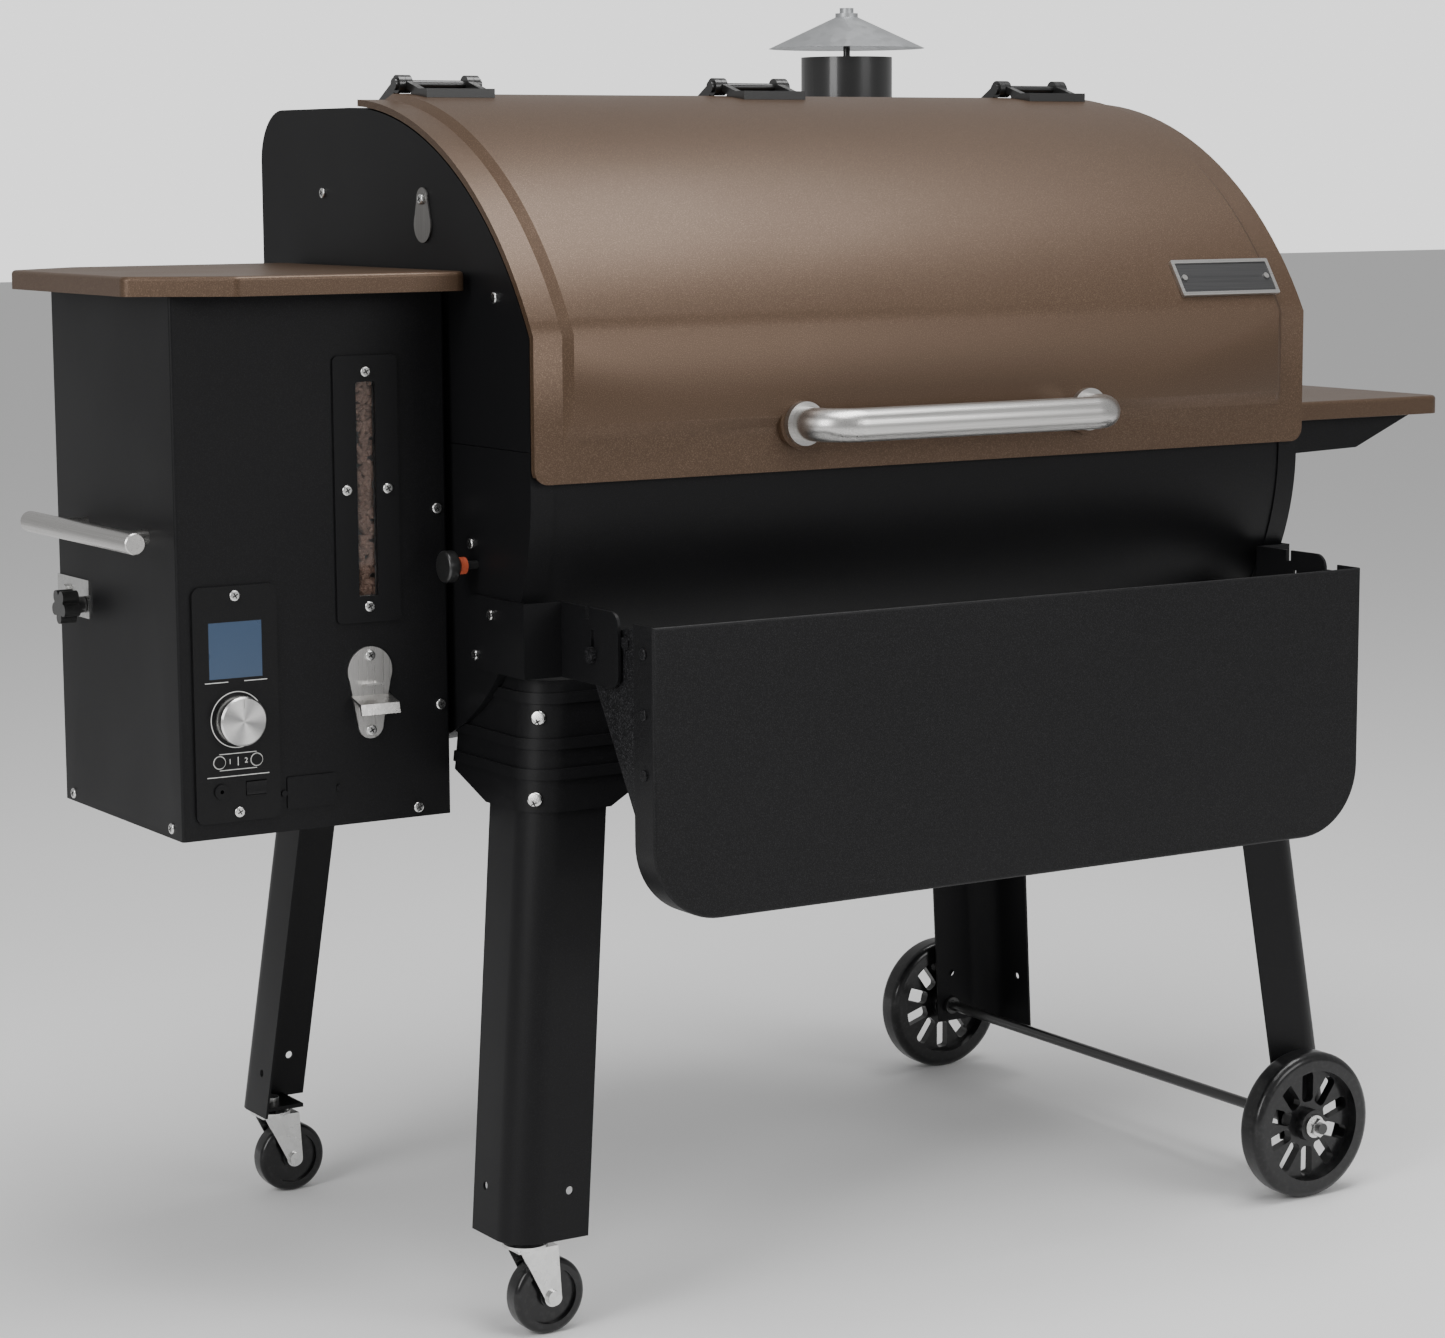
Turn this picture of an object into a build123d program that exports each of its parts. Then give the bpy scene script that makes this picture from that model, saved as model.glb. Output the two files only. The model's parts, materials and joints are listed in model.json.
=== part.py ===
"""Pellet smoker grill: wrap-over barrel cooker with a pellet hopper at its left end.

Millimetres, +Z up, +X along the barrel towards the right shelf, -Y towards the cook.
Pieces are drawn about the barrel's middle, then moved so that the origin is the centre
of the footprint at floor level.
"""
from build123d import *
import math
import os

# ---------------------------------------------------------------- driving dimensions
# Barrel: a flat-backed section with a rounded belly, closed by two end panels.
barrel_length = 914.0
barrel_front = -358.0
barrel_back = 204.0
barrel_top = 1143.0
belly_radius = 260.0
belly_centre_z = 790.0
roof_radius = 408.0
roof_corner_radius = 52.0
shell_sheet = 2.0
panel_sheet = 2.0
band_sheet = 1.6
band_width = 22.0
panel_seam_z = 827.0
mouth_lip_z = 818.0
mouth_rear_y = -42.0

# Lid: a pressed wrap-over sheet with a raised field.
lid_sheet = 2.0
lid_seal_gap = 1.5
lid_border_rise = 8.0
lid_field_rise = 14.0
lid_bottom_z = 798.0
lid_rear_y = -20.0
lid_border_width = 30.0
lid_field_slope = 9.0
lid_step_low_z = 838.0
lid_step_high_z = 852.0
lid_corner_radius = 14.0

# Lid handle: bent stainless tube on two round feet.
handle_spacing = 338.8
handle_z = 843.0
handle_radius = 16.0
handle_wall = 1.5
handle_standoff = 50.0
handle_bend = 34.0
handle_foot_radius = 21.0
handle_foot_height = 6.0

# Lid hinges: three pins over the roof.
hinge_xs = (-366.0, 0.0, 366.0)
hinge_y = -13.0
hinge_z = 1166.0
hinge_width = 90.0
hinge_ear = 7.0
hinge_pin_radius = 4.0
hinge_ear_radius = 9.0

# Chimney: box outlet on the back wall, pipe and cone cap on a threaded spindle.
chimney_x = 314.0
chimney_pipe_radius = 52.5
chimney_box_width = 124.0
chimney_box_depth = 126.0
chimney_box_low_z = 950.0
chimney_box_high_z = 1080.0
chimney_pipe_top_z = 1208.0
chimney_sheet = 1.5
cap_radius = 90.0
cap_rim_z = 1218.0
cap_cone_height = 36.0
spindle_radius = 4.0

# Legs: four splayed angle-section sheet legs in beaded saddles.
leg_centre_y = -77.0
leg_half_y = 275.0
leg_join_z = 500.0
leg_splay_x = 0.11
leg_splay_y = 0.085
leg_width = 80.0
leg_corner_radius = 33.0
leg_sheet = 2.5
leg_top_z = 588.0
caster_leg_foot_z = 95.0
wheel_leg_foot_z = 58.0
saddle_sheet = 2.0
saddle_low_z = 493.0
saddle_high_z = 640.0
saddle_bead_zs = (528.0, 556.0, 598.0)
saddle_bolt_zs = (505.0, 580.0)

# Casters under the left legs.
caster_radius = 37.0
caster_width = 24.0
caster_trail = 20.0
caster_stem_radius = 5.5
caster_fork_sheet = 2.5
caster_axle_radius = 4.0
caster_inset = 29.0

# Transport wheels on the right legs.
wheel_radius = 78.0
wheel_width = 32.0
wheel_hub_radius = 17.0
wheel_x = barrel_length / 2 - 16
wheel_axle_radius = 6.0
wheel_spokes = 10

# Hopper box on the left end, with its lid that doubles as a shelf.
hopper_gap = 8.4
hopper_width = 276.6
hopper_right = -barrel_length / 2 - hopper_gap
hopper_left = hopper_right - hopper_width
hopper_front = -209.0
hopper_back = 75.0
hopper_bottom_z = 474.0
hopper_sheet = 1.6
hopper_lid_sheet = 2.0
hopper_lid_reach = 38.0
hopper_lid_clearance = 0.7
hopper_lid_left = hopper_left - hopper_lid_reach
hopper_lid_right = hopper_right + hopper_lid_sheet + hopper_lid_clearance
hopper_lid_front = -254.0
hopper_lid_back = 140.0
hopper_lid_top_z = 989.5
hopper_lid_lip = 18.0
hopper_lid_chamfer_x = 85.0
hopper_lid_chamfer_y = 60.0
hopper_hinge_y = 90.0
hopper_hinge_z = 964.0
bin_wall = 1.2
bin_throat_z = 640.0
bin_throat_size = 84.0

# Pellet window and control panel on the hopper's front.
window_centre_x = hopper_right - 84.1
window_centre_z = 788.5
window_frame_width = 66.0
window_frame_height = 249.0
window_slot_width = 20.0
window_slot_height = 200.0
window_frame_sheet = 2.5
window_pane_sheet = 3.0
control_centre_x = hopper_left + 55.3
control_low_z = 489.0
control_high_z = 707.5
control_width = 84.0
control_sheet = 3.0
screen_width = 53.0
screen_height = 52.0
screen_centre_z = 648.5
knob_z = 584.0
knob_radius = 22.8
knob_height = 16.0
button_z = 545.3
button_half_spacing = 18.6
button_radius = 5.0
button_travel = 1.5
jack_z = 518.2
rocker_z = 519.2
rocker_width = 20.0
rocker_height = 13.0
controller_depth = 46.0

# Side handle and clean-out on the hopper's left wall.
side_handle_z = 750.0
side_handle_radius = 10.0
side_handle_standoff = 35.0
side_handle_post_ys = (-144.0, 0.0)
side_handle_overhang = 57.0
side_post_radius = 7.0
cleanout_y = 8.0
cleanout_z = 672.0

# Bottle opener and blank plates.
opener_x = hopper_right - 84.3
opener_low_z = 554.0
opener_high_z = 641.0
opener_width = 46.0

# Auger, fire pot and blower.
auger_y = -77.0
auger_z = 585.0
auger_tube_radius = 30.0
auger_tube_wall = 2.0
auger_tube_left = -690.0
auger_screw_radius = 25.0
auger_shaft_radius = 8.0
auger_pitch = 50.0
fire_pot_x = 20.0
fire_pot_radius = 58.0
fire_pot_height = 118.0
fire_pot_wall = 2.0
fan_y = 18.0
fan_z = 530.0
fan_radius = 44.0

# Ash cup under the belly.
ash_cup_radius = 40.0
ash_cup_height = 62.0
ash_cup_wall = 1.6

# Cooking surfaces and grease handling.
grate_z = 806.0
grate_rod_radius = 3.0
grate_frame_radius = 4.0
grate_length = 440.0
grate_front = -330.0
grate_back = 176.0
grate_rod_pitch = 20.0
rack_z = 946.0
rack_front = 6.0
rack_back = 186.0
tray_sheet = 2.0
tray_front = -296.0
tray_back = 130.0
tray_half_length = 440.0
tray_high_z = 716.0
tray_low_z = 694.0
tray_bar_inset = 40.0
slide_rod_y = -252.0
slide_rod_z = 716.0
slide_rod_radius = 4.0
bucket_x = 330.0
drain_x = 366.0
bucket_y = -77.0
bucket_rim_z = 478.0
bucket_height = 120.0
bucket_top_radius = 62.0
bucket_foot_radius = 50.0
bucket_wall = 1.2
bucket_rim_depth = 4.0
bucket_rim_roll = 1.5
bucket_ear_drop = 12.0
bucket_ear_radius = 6.5
bucket_ear_depth = 2.5
bail_radius = 2.5
bail_clearance = 0.4
bail_height = 50.0

# Right shelf.
shelf_right = 759.0
shelf_front = -254.0
shelf_back = 110.0
shelf_top_z = 828.0
shelf_lip = 20.0
shelf_sheet = 2.0
shelf_bracket_low_z = 768.0
shelf_bracket_knee_x = 650.0

# Front folding shelf and its hangers.
fold_half_length = 417.0
fold_face_y = -505.0
fold_top_z = 680.0
fold_bottom_z = 410.0
fold_corner_radius = 70.0
fold_rim = 34.0
fold_sheet = 2.0
fold_pivot_y = -404.0
fold_pivot_z = 645.0
fold_stud_radius = 4.0
hanger_sheet = 3.0
hanger_low_z = 618.0
hanger_high_z = 688.0
hanger_back_y = -240.0
hanger_step_y = -347.0
hanger_front_y = -450.0
lock_bolt_y = -455.0
lock_bolt_z = 661.0

# Probe port cover on the left end panel.
probe_cover_y = -156.0
probe_cover_z = 1055.0
probe_cover_drop = 32.0
probe_port_radius = 12.0

# Fasteners and clearances.
screw_shank_radius = 2.4
screw_head_radius = 5.2
screw_head_height = 2.6
bolt_shank_radius = 3.5
bolt_head_radius = 7.2
bolt_head_height = 4.2
hole_clearance = 0.1
running_clearance = 0.05
seat_gap = 0.3

# ---------------------------------------------------------------- derived places
half_length = barrel_length / 2
roof_centre_z = barrel_top - roof_radius
barrel_bottom = belly_centre_z - belly_radius
shell_grow = -band_sheet - hole_clearance
hopper_rim_z = hopper_lid_top_z - hopper_lid_sheet - seat_gap
lid_field_half = half_length - lid_border_width
lid_field_y = barrel_front - lid_field_rise


# ---------------------------------------------------------------- drawing helpers
def block(x0, x1, y0, y1, z0, z1):
    """A box between two corners."""
    middle = Pos((x0 + x1) / 2, (y0 + y1) / 2, (z0 + z1) / 2)
    return middle * Box(abs(x1 - x0), abs(y1 - y0), abs(z1 - z0))


def rod(start, direction, radius, length):
    """A cylinder that starts at a point and runs along a direction."""
    aligned = (Align.CENTER, Align.CENTER, Align.MIN)
    return Plane(origin=start, z_dir=direction) * Cylinder(radius, length, align=aligned)


def cone(start, direction, radius, end_radius, length):
    """A cone frustum that starts at a point and runs along a direction."""
    aligned = (Align.CENTER, Align.CENTER, Align.MIN)
    return Plane(origin=start, z_dir=direction) * Cone(radius, end_radius, length, align=aligned)


def arc(centre, radius, start, end):
    """A section arc; angles in degrees from +Y towards +Z."""
    def at(angle):
        turn = math.radians(angle)
        return (centre[0] + radius * math.cos(turn), centre[1] + radius * math.sin(turn))
    return ThreePointArc(at(start), at((start + end) / 2), at(end))


def along_x(face, x0, x1):
    """Extrude a face drawn in (Y, Z) from x0 to x1."""
    section = Plane(origin=(x0, 0, 0), x_dir=(0, 1, 0), z_dir=(1, 0, 0))
    return extrude(section * face, amount=x1 - x0)


def along_y(face, y0, y1):
    """Extrude a face drawn in (X, Z) from y0 to y1, y1 behind y0."""
    section = Plane(origin=(0, y1, 0), x_dir=(1, 0, 0), z_dir=(0, -1, 0))
    return extrude(section * face, amount=y1 - y0)


def along_z(face, z0, z1):
    """Extrude a face drawn in (X, Y) from z0 to z1."""
    return extrude(Pos(0, 0, z0) * face, amount=z1 - z0)


def outline_face(*points):
    """A straight-sided face through points."""
    return make_face(Polyline(*points, close=True))


def plate_face(width, height, radius, centre):
    """A round-cornered rectangle about a centre."""
    return Pos(centre[0], centre[1]) * RectangleRounded(width, height, radius)


def mirror_x(shape):
    """The same piece for the other end of the barrel."""
    return mirror(shape, about=Plane.YZ)


def solids_of(*shapes):
    """Separate solids that share one node."""
    found = []
    for shape in shapes:
        found.extend(shape.solids())
    return Compound(found)


def domed_head(point, direction, radius, height):
    """A round head with a rounded crown."""
    axis = Vector(*direction).normalized()
    head = rod(point, axis, radius, height)
    circles = head.edges().filter_by(GeomType.CIRCLE)
    crown = circles.sort_by(lambda edge: (edge.arc_center - Vector(*point)).dot(axis))[-1]
    return fillet(crown, height * 0.6)


def screw(point, direction, grip=4.0):
    """Round-headed sheet screw whose head sits at a point; direction points out."""
    axis = Vector(*direction).normalized()
    head = domed_head(point, axis, screw_head_radius, screw_head_height)
    return head + rod(point, axis * -1, screw_shank_radius, grip)


def screw_hole(point, direction, grip=5.0):
    """Clearance hole for a sheet screw."""
    axis = Vector(*direction).normalized()
    return rod(Vector(*point) + axis, axis * -1, screw_shank_radius + hole_clearance, grip + 1)


# ---------------------------------------------------------------- barrel section
def barrel_section(grow):
    """Closed barrel section, offset outwards by grow."""
    front = barrel_front - grow
    back = barrel_back + grow
    crease_angle = 180 - math.degrees(math.acos(-front / (roof_radius + grow)))
    crease_z = roof_centre_z + math.sqrt((roof_radius + grow) ** 2 - front ** 2)
    corner_y = barrel_back - roof_corner_radius
    corner_z = barrel_top - roof_corner_radius
    bottom = barrel_bottom - grow
    front_belly_y = barrel_front + belly_radius
    rear_belly_y = barrel_back - belly_radius
    edges = [
        Line((corner_y, barrel_top + grow), (0, barrel_top + grow)),
        arc((0, roof_centre_z), roof_radius + grow, 90, crease_angle),
        Line((front, crease_z), (front, belly_centre_z)),
        arc((front_belly_y, belly_centre_z), belly_radius + grow, 180, 270),
        Line((front_belly_y, bottom), (rear_belly_y, bottom)),
        arc((rear_belly_y, belly_centre_z), belly_radius + grow, 270, 360),
        Line((back, belly_centre_z), (back, corner_z)),
        arc((corner_y, corner_z), roof_corner_radius + grow, 0, 90),
    ]
    return make_face(edges)


def belly_y(z, grow=0.0):
    """Y of the belly's front at a height."""
    reach = math.sqrt((belly_radius + grow) ** 2 - (belly_centre_z - z) ** 2)
    return barrel_front + belly_radius - reach


def belly_back_y(z, grow=0.0):
    """Y of the belly's back at a height."""
    reach = math.sqrt((belly_radius + grow) ** 2 - (belly_centre_z - z) ** 2)
    return barrel_back - belly_radius + reach


panel_screw_places = [(-295.0, 966.0), (-242.0, 735.0), (60.0, 1060.0), (120.0, 620.0)]


def barrel_shell():
    """Wrapped sheet: front lip, belly, back wall and the rear of the roof."""
    reach = half_length - panel_sheet - hole_clearance
    shell = along_x(barrel_section(shell_grow), -reach, reach)
    shell -= along_x(barrel_section(shell_grow - shell_sheet), -reach - 1, reach + 1)
    shell -= block(-half_length, half_length, barrel_front - 60, mouth_rear_y, mouth_lip_z, barrel_top + 60)
    smoke_outlet = block(
        chimney_x - chimney_box_width / 2 + 14, chimney_x + chimney_box_width / 2 - 14,
        barrel_back - 20, barrel_back + 20,
        chimney_box_low_z + 14, chimney_box_high_z - 14)
    ash_hole = rod((fire_pot_x, auger_y, barrel_bottom - 10), (0, 0, 1), ash_cup_radius - 8, 30)
    grease_hole = rod((drain_x, bucket_y, barrel_bottom - 10), (0, 0, 1), 14, 30)
    return shell - smoke_outlet - ash_hole - grease_hole


def end_panel():
    """Left end panel: plate with a turned rim band, seamed at the lid's lower edge."""
    outer = -half_length
    inner = outer + panel_sheet
    panel = along_x(barrel_section(0), outer, inner)
    band = along_x(barrel_section(0), inner, inner + band_width)
    band -= along_x(barrel_section(-band_sheet), inner - 1, inner + band_width + 1)
    panel += band
    return panel - block(outer - 1, inner + band_width + 1, -600, -180, panel_seam_z, panel_seam_z + 0.6)


def end_panel_left():
    """End panel with the auger, slide-rod and probe holes."""
    panel = end_panel()
    start = -half_length - 1
    panel -= rod((start, auger_y, auger_z), (1, 0, 0), auger_tube_radius + hole_clearance, 4)
    panel -= rod((start, slide_rod_y, slide_rod_z), (1, 0, 0), slide_rod_radius + running_clearance, 4)
    port_z = probe_cover_z - probe_cover_drop + 8
    panel -= rod((start, probe_cover_y, port_z), (1, 0, 0), probe_port_radius, 4)
    panel -= screw_hole((-half_length, probe_cover_y, probe_cover_z), (-1, 0, 0))
    for y, z in panel_screw_places:
        panel -= screw_hole((-half_length, y, z), (-1, 0, 0))
    for y, z in hanger_screw_places:
        panel -= screw_hole((-half_length, y, z), (-1, 0, 0))
    return panel


def end_panel_right():
    """Mirror end panel with holes for the shelf brackets."""
    panel = mirror_x(end_panel())
    for y, z in panel_screw_places:
        panel -= screw_hole((half_length, y, z), (1, 0, 0))
    for y, z in hanger_screw_places:
        panel -= screw_hole((half_length, y, z), (1, 0, 0))
    return panel


# ---------------------------------------------------------------- lid
def lid_section(grow, step_grow):
    """Lid section: roof arc and front wall at one offset, its foot stepping to another."""
    radius = roof_radius + grow
    front = barrel_front - grow
    step_front = barrel_front - step_grow
    rear_angle = math.degrees(math.acos(lid_rear_y / radius))
    crease_angle = 180 - math.degrees(math.acos(-front / radius))
    rear_z = roof_centre_z + math.sqrt(radius ** 2 - lid_rear_y ** 2)
    crease_z = roof_centre_z + math.sqrt(radius ** 2 - front ** 2)
    edges = [
        arc((0, roof_centre_z), radius, rear_angle, crease_angle),
        Line((front, crease_z), (front, lid_step_high_z)),
        Line((front, lid_step_high_z), (step_front, lid_step_low_z)),
        Line((step_front, lid_step_low_z), (lid_rear_y, lid_step_low_z)),
        Line((lid_rear_y, lid_step_low_z), (lid_rear_y, rear_z)),
    ]
    return make_face(edges)


def lid_block(inset):
    """The lid's outside as a filled body, inset evenly by a sheet thickness."""
    border = lid_border_rise - inset
    field = lid_field_rise - inset
    foot = along_x(outline_face(
        (barrel_front - border, lid_bottom_z - inset), (lid_rear_y, lid_bottom_z - inset),
        (lid_rear_y, lid_step_low_z + 20), (barrel_front - border, lid_step_low_z + 20)),
        -half_length + inset, half_length - inset)
    body = foot + along_x(lid_section(border, border + 0.001), -half_length + inset, half_length - inset)
    top_half = lid_field_half - lid_field_slope - inset
    body += along_x(lid_section(field, border), -top_half, top_half)
    for side in (-1, 1):
        low = Plane(origin=(side * (lid_field_half - inset), 0, 0), x_dir=(0, 1, 0), z_dir=(1, 0, 0))
        high = Plane(origin=(side * top_half, 0, 0), x_dir=(0, 1, 0), z_dir=(1, 0, 0))
        sections = [low * lid_section(border + 0.01, border), high * lid_section(field, border)]
        body += loft(sections, ruled=True)
    return body


def lid():
    """Pressed wrap-over lid with a raised field, inturned edges and two handle pads."""
    body = lid_block(0)
    core = lid_block(lid_sheet)
    core -= block(-half_length, half_length, lid_rear_y - lid_sheet, lid_rear_y + 50, 0, 1300)
    throat = along_x(barrel_section(lid_seal_gap), -half_length - 1, half_length + 1)
    throat += block(-half_length - 1, half_length + 1, barrel_front - lid_seal_gap, lid_rear_y + 1, 700, 900)
    for side in (-1, 1):
        foot = (side * handle_spacing / 2, lid_field_y, handle_z)
        body += rod(foot, (0, 1, 0), handle_foot_radius + 4, lid_field_rise - lid_border_rise)
    body = body - core - throat
    for side in (-1, 1):
        foot = (side * handle_spacing / 2, lid_field_y - 1, handle_z)
        body -= rod(foot, (0, 1, 0), bolt_shank_radius + hole_clearance, 20)
    square = block(-half_length - 1, -half_length + lid_corner_radius, barrel_front - 30, barrel_front + 10,
                   lid_bottom_z - 1, lid_bottom_z + lid_corner_radius)
    square -= rod((-half_length + lid_corner_radius, barrel_front - 31, lid_bottom_z + lid_corner_radius),
                  (0, 1, 0), lid_corner_radius, 60)
    return body - square - mirror_x(square)


def lid_handle():
    """Bent tube, two round feet and the two bolts that hold them."""
    half = handle_spacing / 2
    root_y = lid_field_y - handle_foot_height
    bar_y = lid_field_y - handle_standoff
    path = FilletPolyline(
        (-half, root_y, handle_z), (-half, bar_y, handle_z),
        (half, bar_y, handle_z), (half, root_y, handle_z), radius=handle_bend)
    start = Plane(origin=(-half, root_y, handle_z), z_dir=(0, -1, 0))
    tube = sweep(start * (Circle(handle_radius) - Circle(handle_radius - handle_wall)), path=path)
    feet = []
    for side in (-1, 1):
        foot = rod((side * half, lid_field_y, handle_z), (0, -1, 0), handle_foot_radius, handle_foot_height)
        foot += rod((side * half, lid_field_y, handle_z), (0, 1, 0), bolt_shank_radius, 13)
        feet.append(foot)
    return solids_of(tube, *feet)


def badge_plane():
    """Plane on the roof arc above the crease, near the right end."""
    angle = math.radians(180 - 33.5)
    radius = roof_radius + lid_field_rise
    point = Vector(361, radius * math.cos(angle), roof_centre_z + radius * math.sin(angle))
    return Plane(origin=point, x_dir=(1, 0, 0), z_dir=(0, math.cos(angle), math.sin(angle)))


def lid_badge():
    """Blank oblong plate with two rivets, flat on the arc's tangent."""
    plane = badge_plane()
    plate = plane * extrude(RectangleRounded(128, 42, 2), amount=3.5)
    plate -= plane * (Pos(0, 0, 2.5) * extrude(RectangleRounded(120, 34, 1), amount=5))
    for side in (-1, 1):
        plate += plane * (Pos(side * 54, 0, 0) * extrude(Circle(3.2), amount=4.2))
    return plate


def hinge_ear_face(base_y0, base_y1, base_z):
    """Ear drawn from a base line to a round eye at the hinge axis."""
    eye = Pos(hinge_y, hinge_z) * Circle(hinge_ear_radius)
    web = outline_face(
        (base_y0, base_z), (base_y1, base_z),
        (hinge_y + hinge_ear_radius * 0.8, hinge_z + 3), (hinge_y - hinge_ear_radius * 0.8, hinge_z + 3))
    return eye + web


def hinge_brackets():
    """Three fixed hinge halves: foot on the roof's flat, two outer ears."""
    roof_z = barrel_top + shell_grow
    shapes = []
    for x in hinge_xs:
        half = hinge_width / 2
        foot = block(x - half, x + half, 4, 46, roof_z, roof_z + 4)
        bracket = foot
        for side in (-1, 1):
            outer = x + side * half
            inner = x + side * (half - hinge_ear)
            face = hinge_ear_face(8, 40, roof_z + 2)
            bracket += along_x(face, min(outer, inner), max(outer, inner))
        bracket -= rod((x - half - 1, hinge_y, hinge_z), (1, 0, 0), hinge_pin_radius, hinge_width + 2)
        bracket -= block(x - half - 1, x + half + 1, -60, 4, roof_z - 9, roof_z + 10)
        for side in (-1, 1):
            bracket -= screw_hole((x + side * 22, 30, roof_z + 4), (0, 0, 1))
        shapes.append(bracket)
    return solids_of(*shapes)


def lid_hinge_leaves():
    """Three lid hinge halves: foot shaped to the lid, two inner ears on the fixed pin."""
    shapes = []
    for x in hinge_xs:
        half = hinge_width / 2 - hinge_ear - seat_gap
        leaf = block(x - half, x + half, -64, -30, 1140, barrel_top + lid_field_rise + 4)
        for side in (-1, 1):
            outer = x + side * half
            inner = x + side * (half - hinge_ear)
            face = hinge_ear_face(-58, -30, barrel_top + lid_field_rise + 1)
            leaf += along_x(face, min(outer, inner), max(outer, inner))
        leaf -= rod((x - half - 1, hinge_y, hinge_z), (1, 0, 0), hinge_pin_radius + running_clearance,
                    2 * half + 2)
        leaf -= along_x(barrel_section(lid_field_rise + hole_clearance), x - half - 1, x + half + 1)
        shapes.append(leaf)
    return solids_of(*shapes)


def lid_hinge_pins():
    """Three plain pins pressed in the outer ears, with a head at each end."""
    shapes = []
    for x in hinge_xs:
        half = hinge_width / 2
        pin = rod((x - half, hinge_y, hinge_z), (1, 0, 0), hinge_pin_radius, hinge_width)
        for side in (-1, 1):
            pin += rod((x + side * half, hinge_y, hinge_z), (side, 0, 0), hinge_pin_radius + 2, 3)
        shapes.append(pin)
    return solids_of(*shapes)


# ---------------------------------------------------------------- chimney
def chimney_outlet():
    """Sheet box on the back wall that turns the smoke upwards."""
    half = chimney_box_width / 2
    back = barrel_back + shell_grow
    outer = block(chimney_x - half, chimney_x + half, back, back + chimney_box_depth,
                  chimney_box_low_z, chimney_box_high_z)
    rear_edges = outer.edges().filter_by(Axis.X).sort_by(Axis.Y)[-2:]
    outer = chamfer(rear_edges, 18)
    inner = block(chimney_x - half + chimney_sheet, chimney_x + half - chimney_sheet,
                  back - 1, back + chimney_box_depth - chimney_sheet,
                  chimney_box_low_z + chimney_sheet, chimney_box_high_z - chimney_sheet)
    inner_edges = inner.edges().filter_by(Axis.X).sort_by(Axis.Y)[-2:]
    inner = chamfer(inner_edges, 18)
    box = outer - inner
    flange = block(chimney_x - half - 12, chimney_x + half + 12, back, back + chimney_sheet,
                   chimney_box_low_z - 12, chimney_box_high_z + 12)
    flange -= block(chimney_x - half + chimney_sheet, chimney_x + half - chimney_sheet, back - 1, back + 5,
                    chimney_box_low_z + chimney_sheet, chimney_box_high_z - chimney_sheet)
    box += flange
    pipe_hole = chimney_pipe_radius - chimney_sheet
    return box - rod((chimney_x, chimney_y, chimney_box_high_z - 10), (0, 0, 1), pipe_hole, 20)


chimney_y = barrel_back + shell_grow + chimney_box_depth / 2 + 2


def chimney_pipe():
    """Straight pipe with a cross strap and the spindle that carries the cap."""
    height = chimney_pipe_top_z - chimney_box_high_z
    foot = (chimney_x, chimney_y, chimney_box_high_z)
    pipe = rod(foot, (0, 0, 1), chimney_pipe_radius, height)
    pipe -= rod((chimney_x, chimney_y, chimney_box_high_z - 1), (0, 0, 1),
                chimney_pipe_radius - chimney_sheet, height + 2)
    collar = rod(foot, (0, 0, 1), chimney_pipe_radius + 6, 3)
    collar -= rod(foot, (0, 0, 1), chimney_pipe_radius - 0.5, 3)
    strap_half = chimney_pipe_radius - chimney_sheet / 2
    strap_z = chimney_pipe_top_z - 40
    strap = block(chimney_x - strap_half, chimney_x + strap_half, chimney_y - 9, chimney_y + 9,
                  strap_z, strap_z + 3)
    strap -= rod((chimney_x, chimney_y, strap_z - 1), (0, 0, 1), spindle_radius + hole_clearance, 6)
    spindle_top = cap_rim_z + cap_cone_height + 10
    spindle = rod((chimney_x, chimney_y, strap_z - 8), (0, 0, 1), spindle_radius, spindle_top - strap_z + 8)
    spindle += rod((chimney_x, chimney_y, strap_z - 8), (0, 0, 1), spindle_radius + 3, 8)
    return solids_of(pipe + collar + strap, spindle)


def chimney_cap():
    """Spun cone with a turned rim and a round hub, running on the spindle."""
    rim = (chimney_x, chimney_y, cap_rim_z)
    skin = 1.5
    shell = cone(rim, (0, 0, 1), cap_radius, 12, cap_cone_height)
    hollow = (chimney_x, chimney_y, cap_rim_z - skin)
    shell -= cone(hollow, (0, 0, 1), cap_radius, 12, cap_cone_height)
    hub_z = cap_rim_z + cap_cone_height - 4
    hub = rod((chimney_x, chimney_y, hub_z), (0, 0, 1), 13, 8)
    nut = rod((chimney_x, chimney_y, hub_z + 8), (0, 0, 1), 8, 6)
    bore = rod((chimney_x, chimney_y, hub_z - 20), (0, 0, 1), spindle_radius + running_clearance, 60)
    return shell + hub + nut - bore


# ---------------------------------------------------------------- legs
def leg_corner(z):
    """Outer corner of the front left leg at a height."""
    rise = z - leg_join_z
    return (-half_length + leg_splay_x * rise, leg_centre_y - leg_half_y + leg_splay_y * rise)


def angle_face(offset, thickness, arm_x, arm_y):
    """Round-cornered angle with its outer corner at -offset, -offset."""
    radius = leg_corner_radius + offset
    inner = radius - thickness
    low = -offset
    centre = low + radius
    skin = low + thickness

    def quarter(r, start, end):
        turns = [math.radians(a) for a in (start, (start + end) / 2, end)]
        return ThreePointArc(*[(centre + r * math.cos(t), centre + r * math.sin(t)) for t in turns])

    edges = [
        Line((arm_x, low), (centre, low)),
        quarter(radius, 270, 180),
        Line((low, centre), (low, arm_y)),
        Line((low, arm_y), (skin, arm_y)),
        Line((skin, arm_y), (skin, centre)),
        quarter(inner, 180, 270),
        Line((centre, skin), (arm_x, skin)),
        Line((arm_x, skin), (arm_x, low)),
    ]
    return make_face(edges)


def splayed(face, z0, z1):
    """Extrude a plan face along the splay of the front left leg."""
    corner = leg_corner(z0)
    rise = z1 - z0
    base = (Pos(corner[0], corner[1], z0) * face).faces()[0]
    return Part() + Solid.extrude(base, Vector(leg_splay_x * rise, leg_splay_y * rise, rise))


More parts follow.
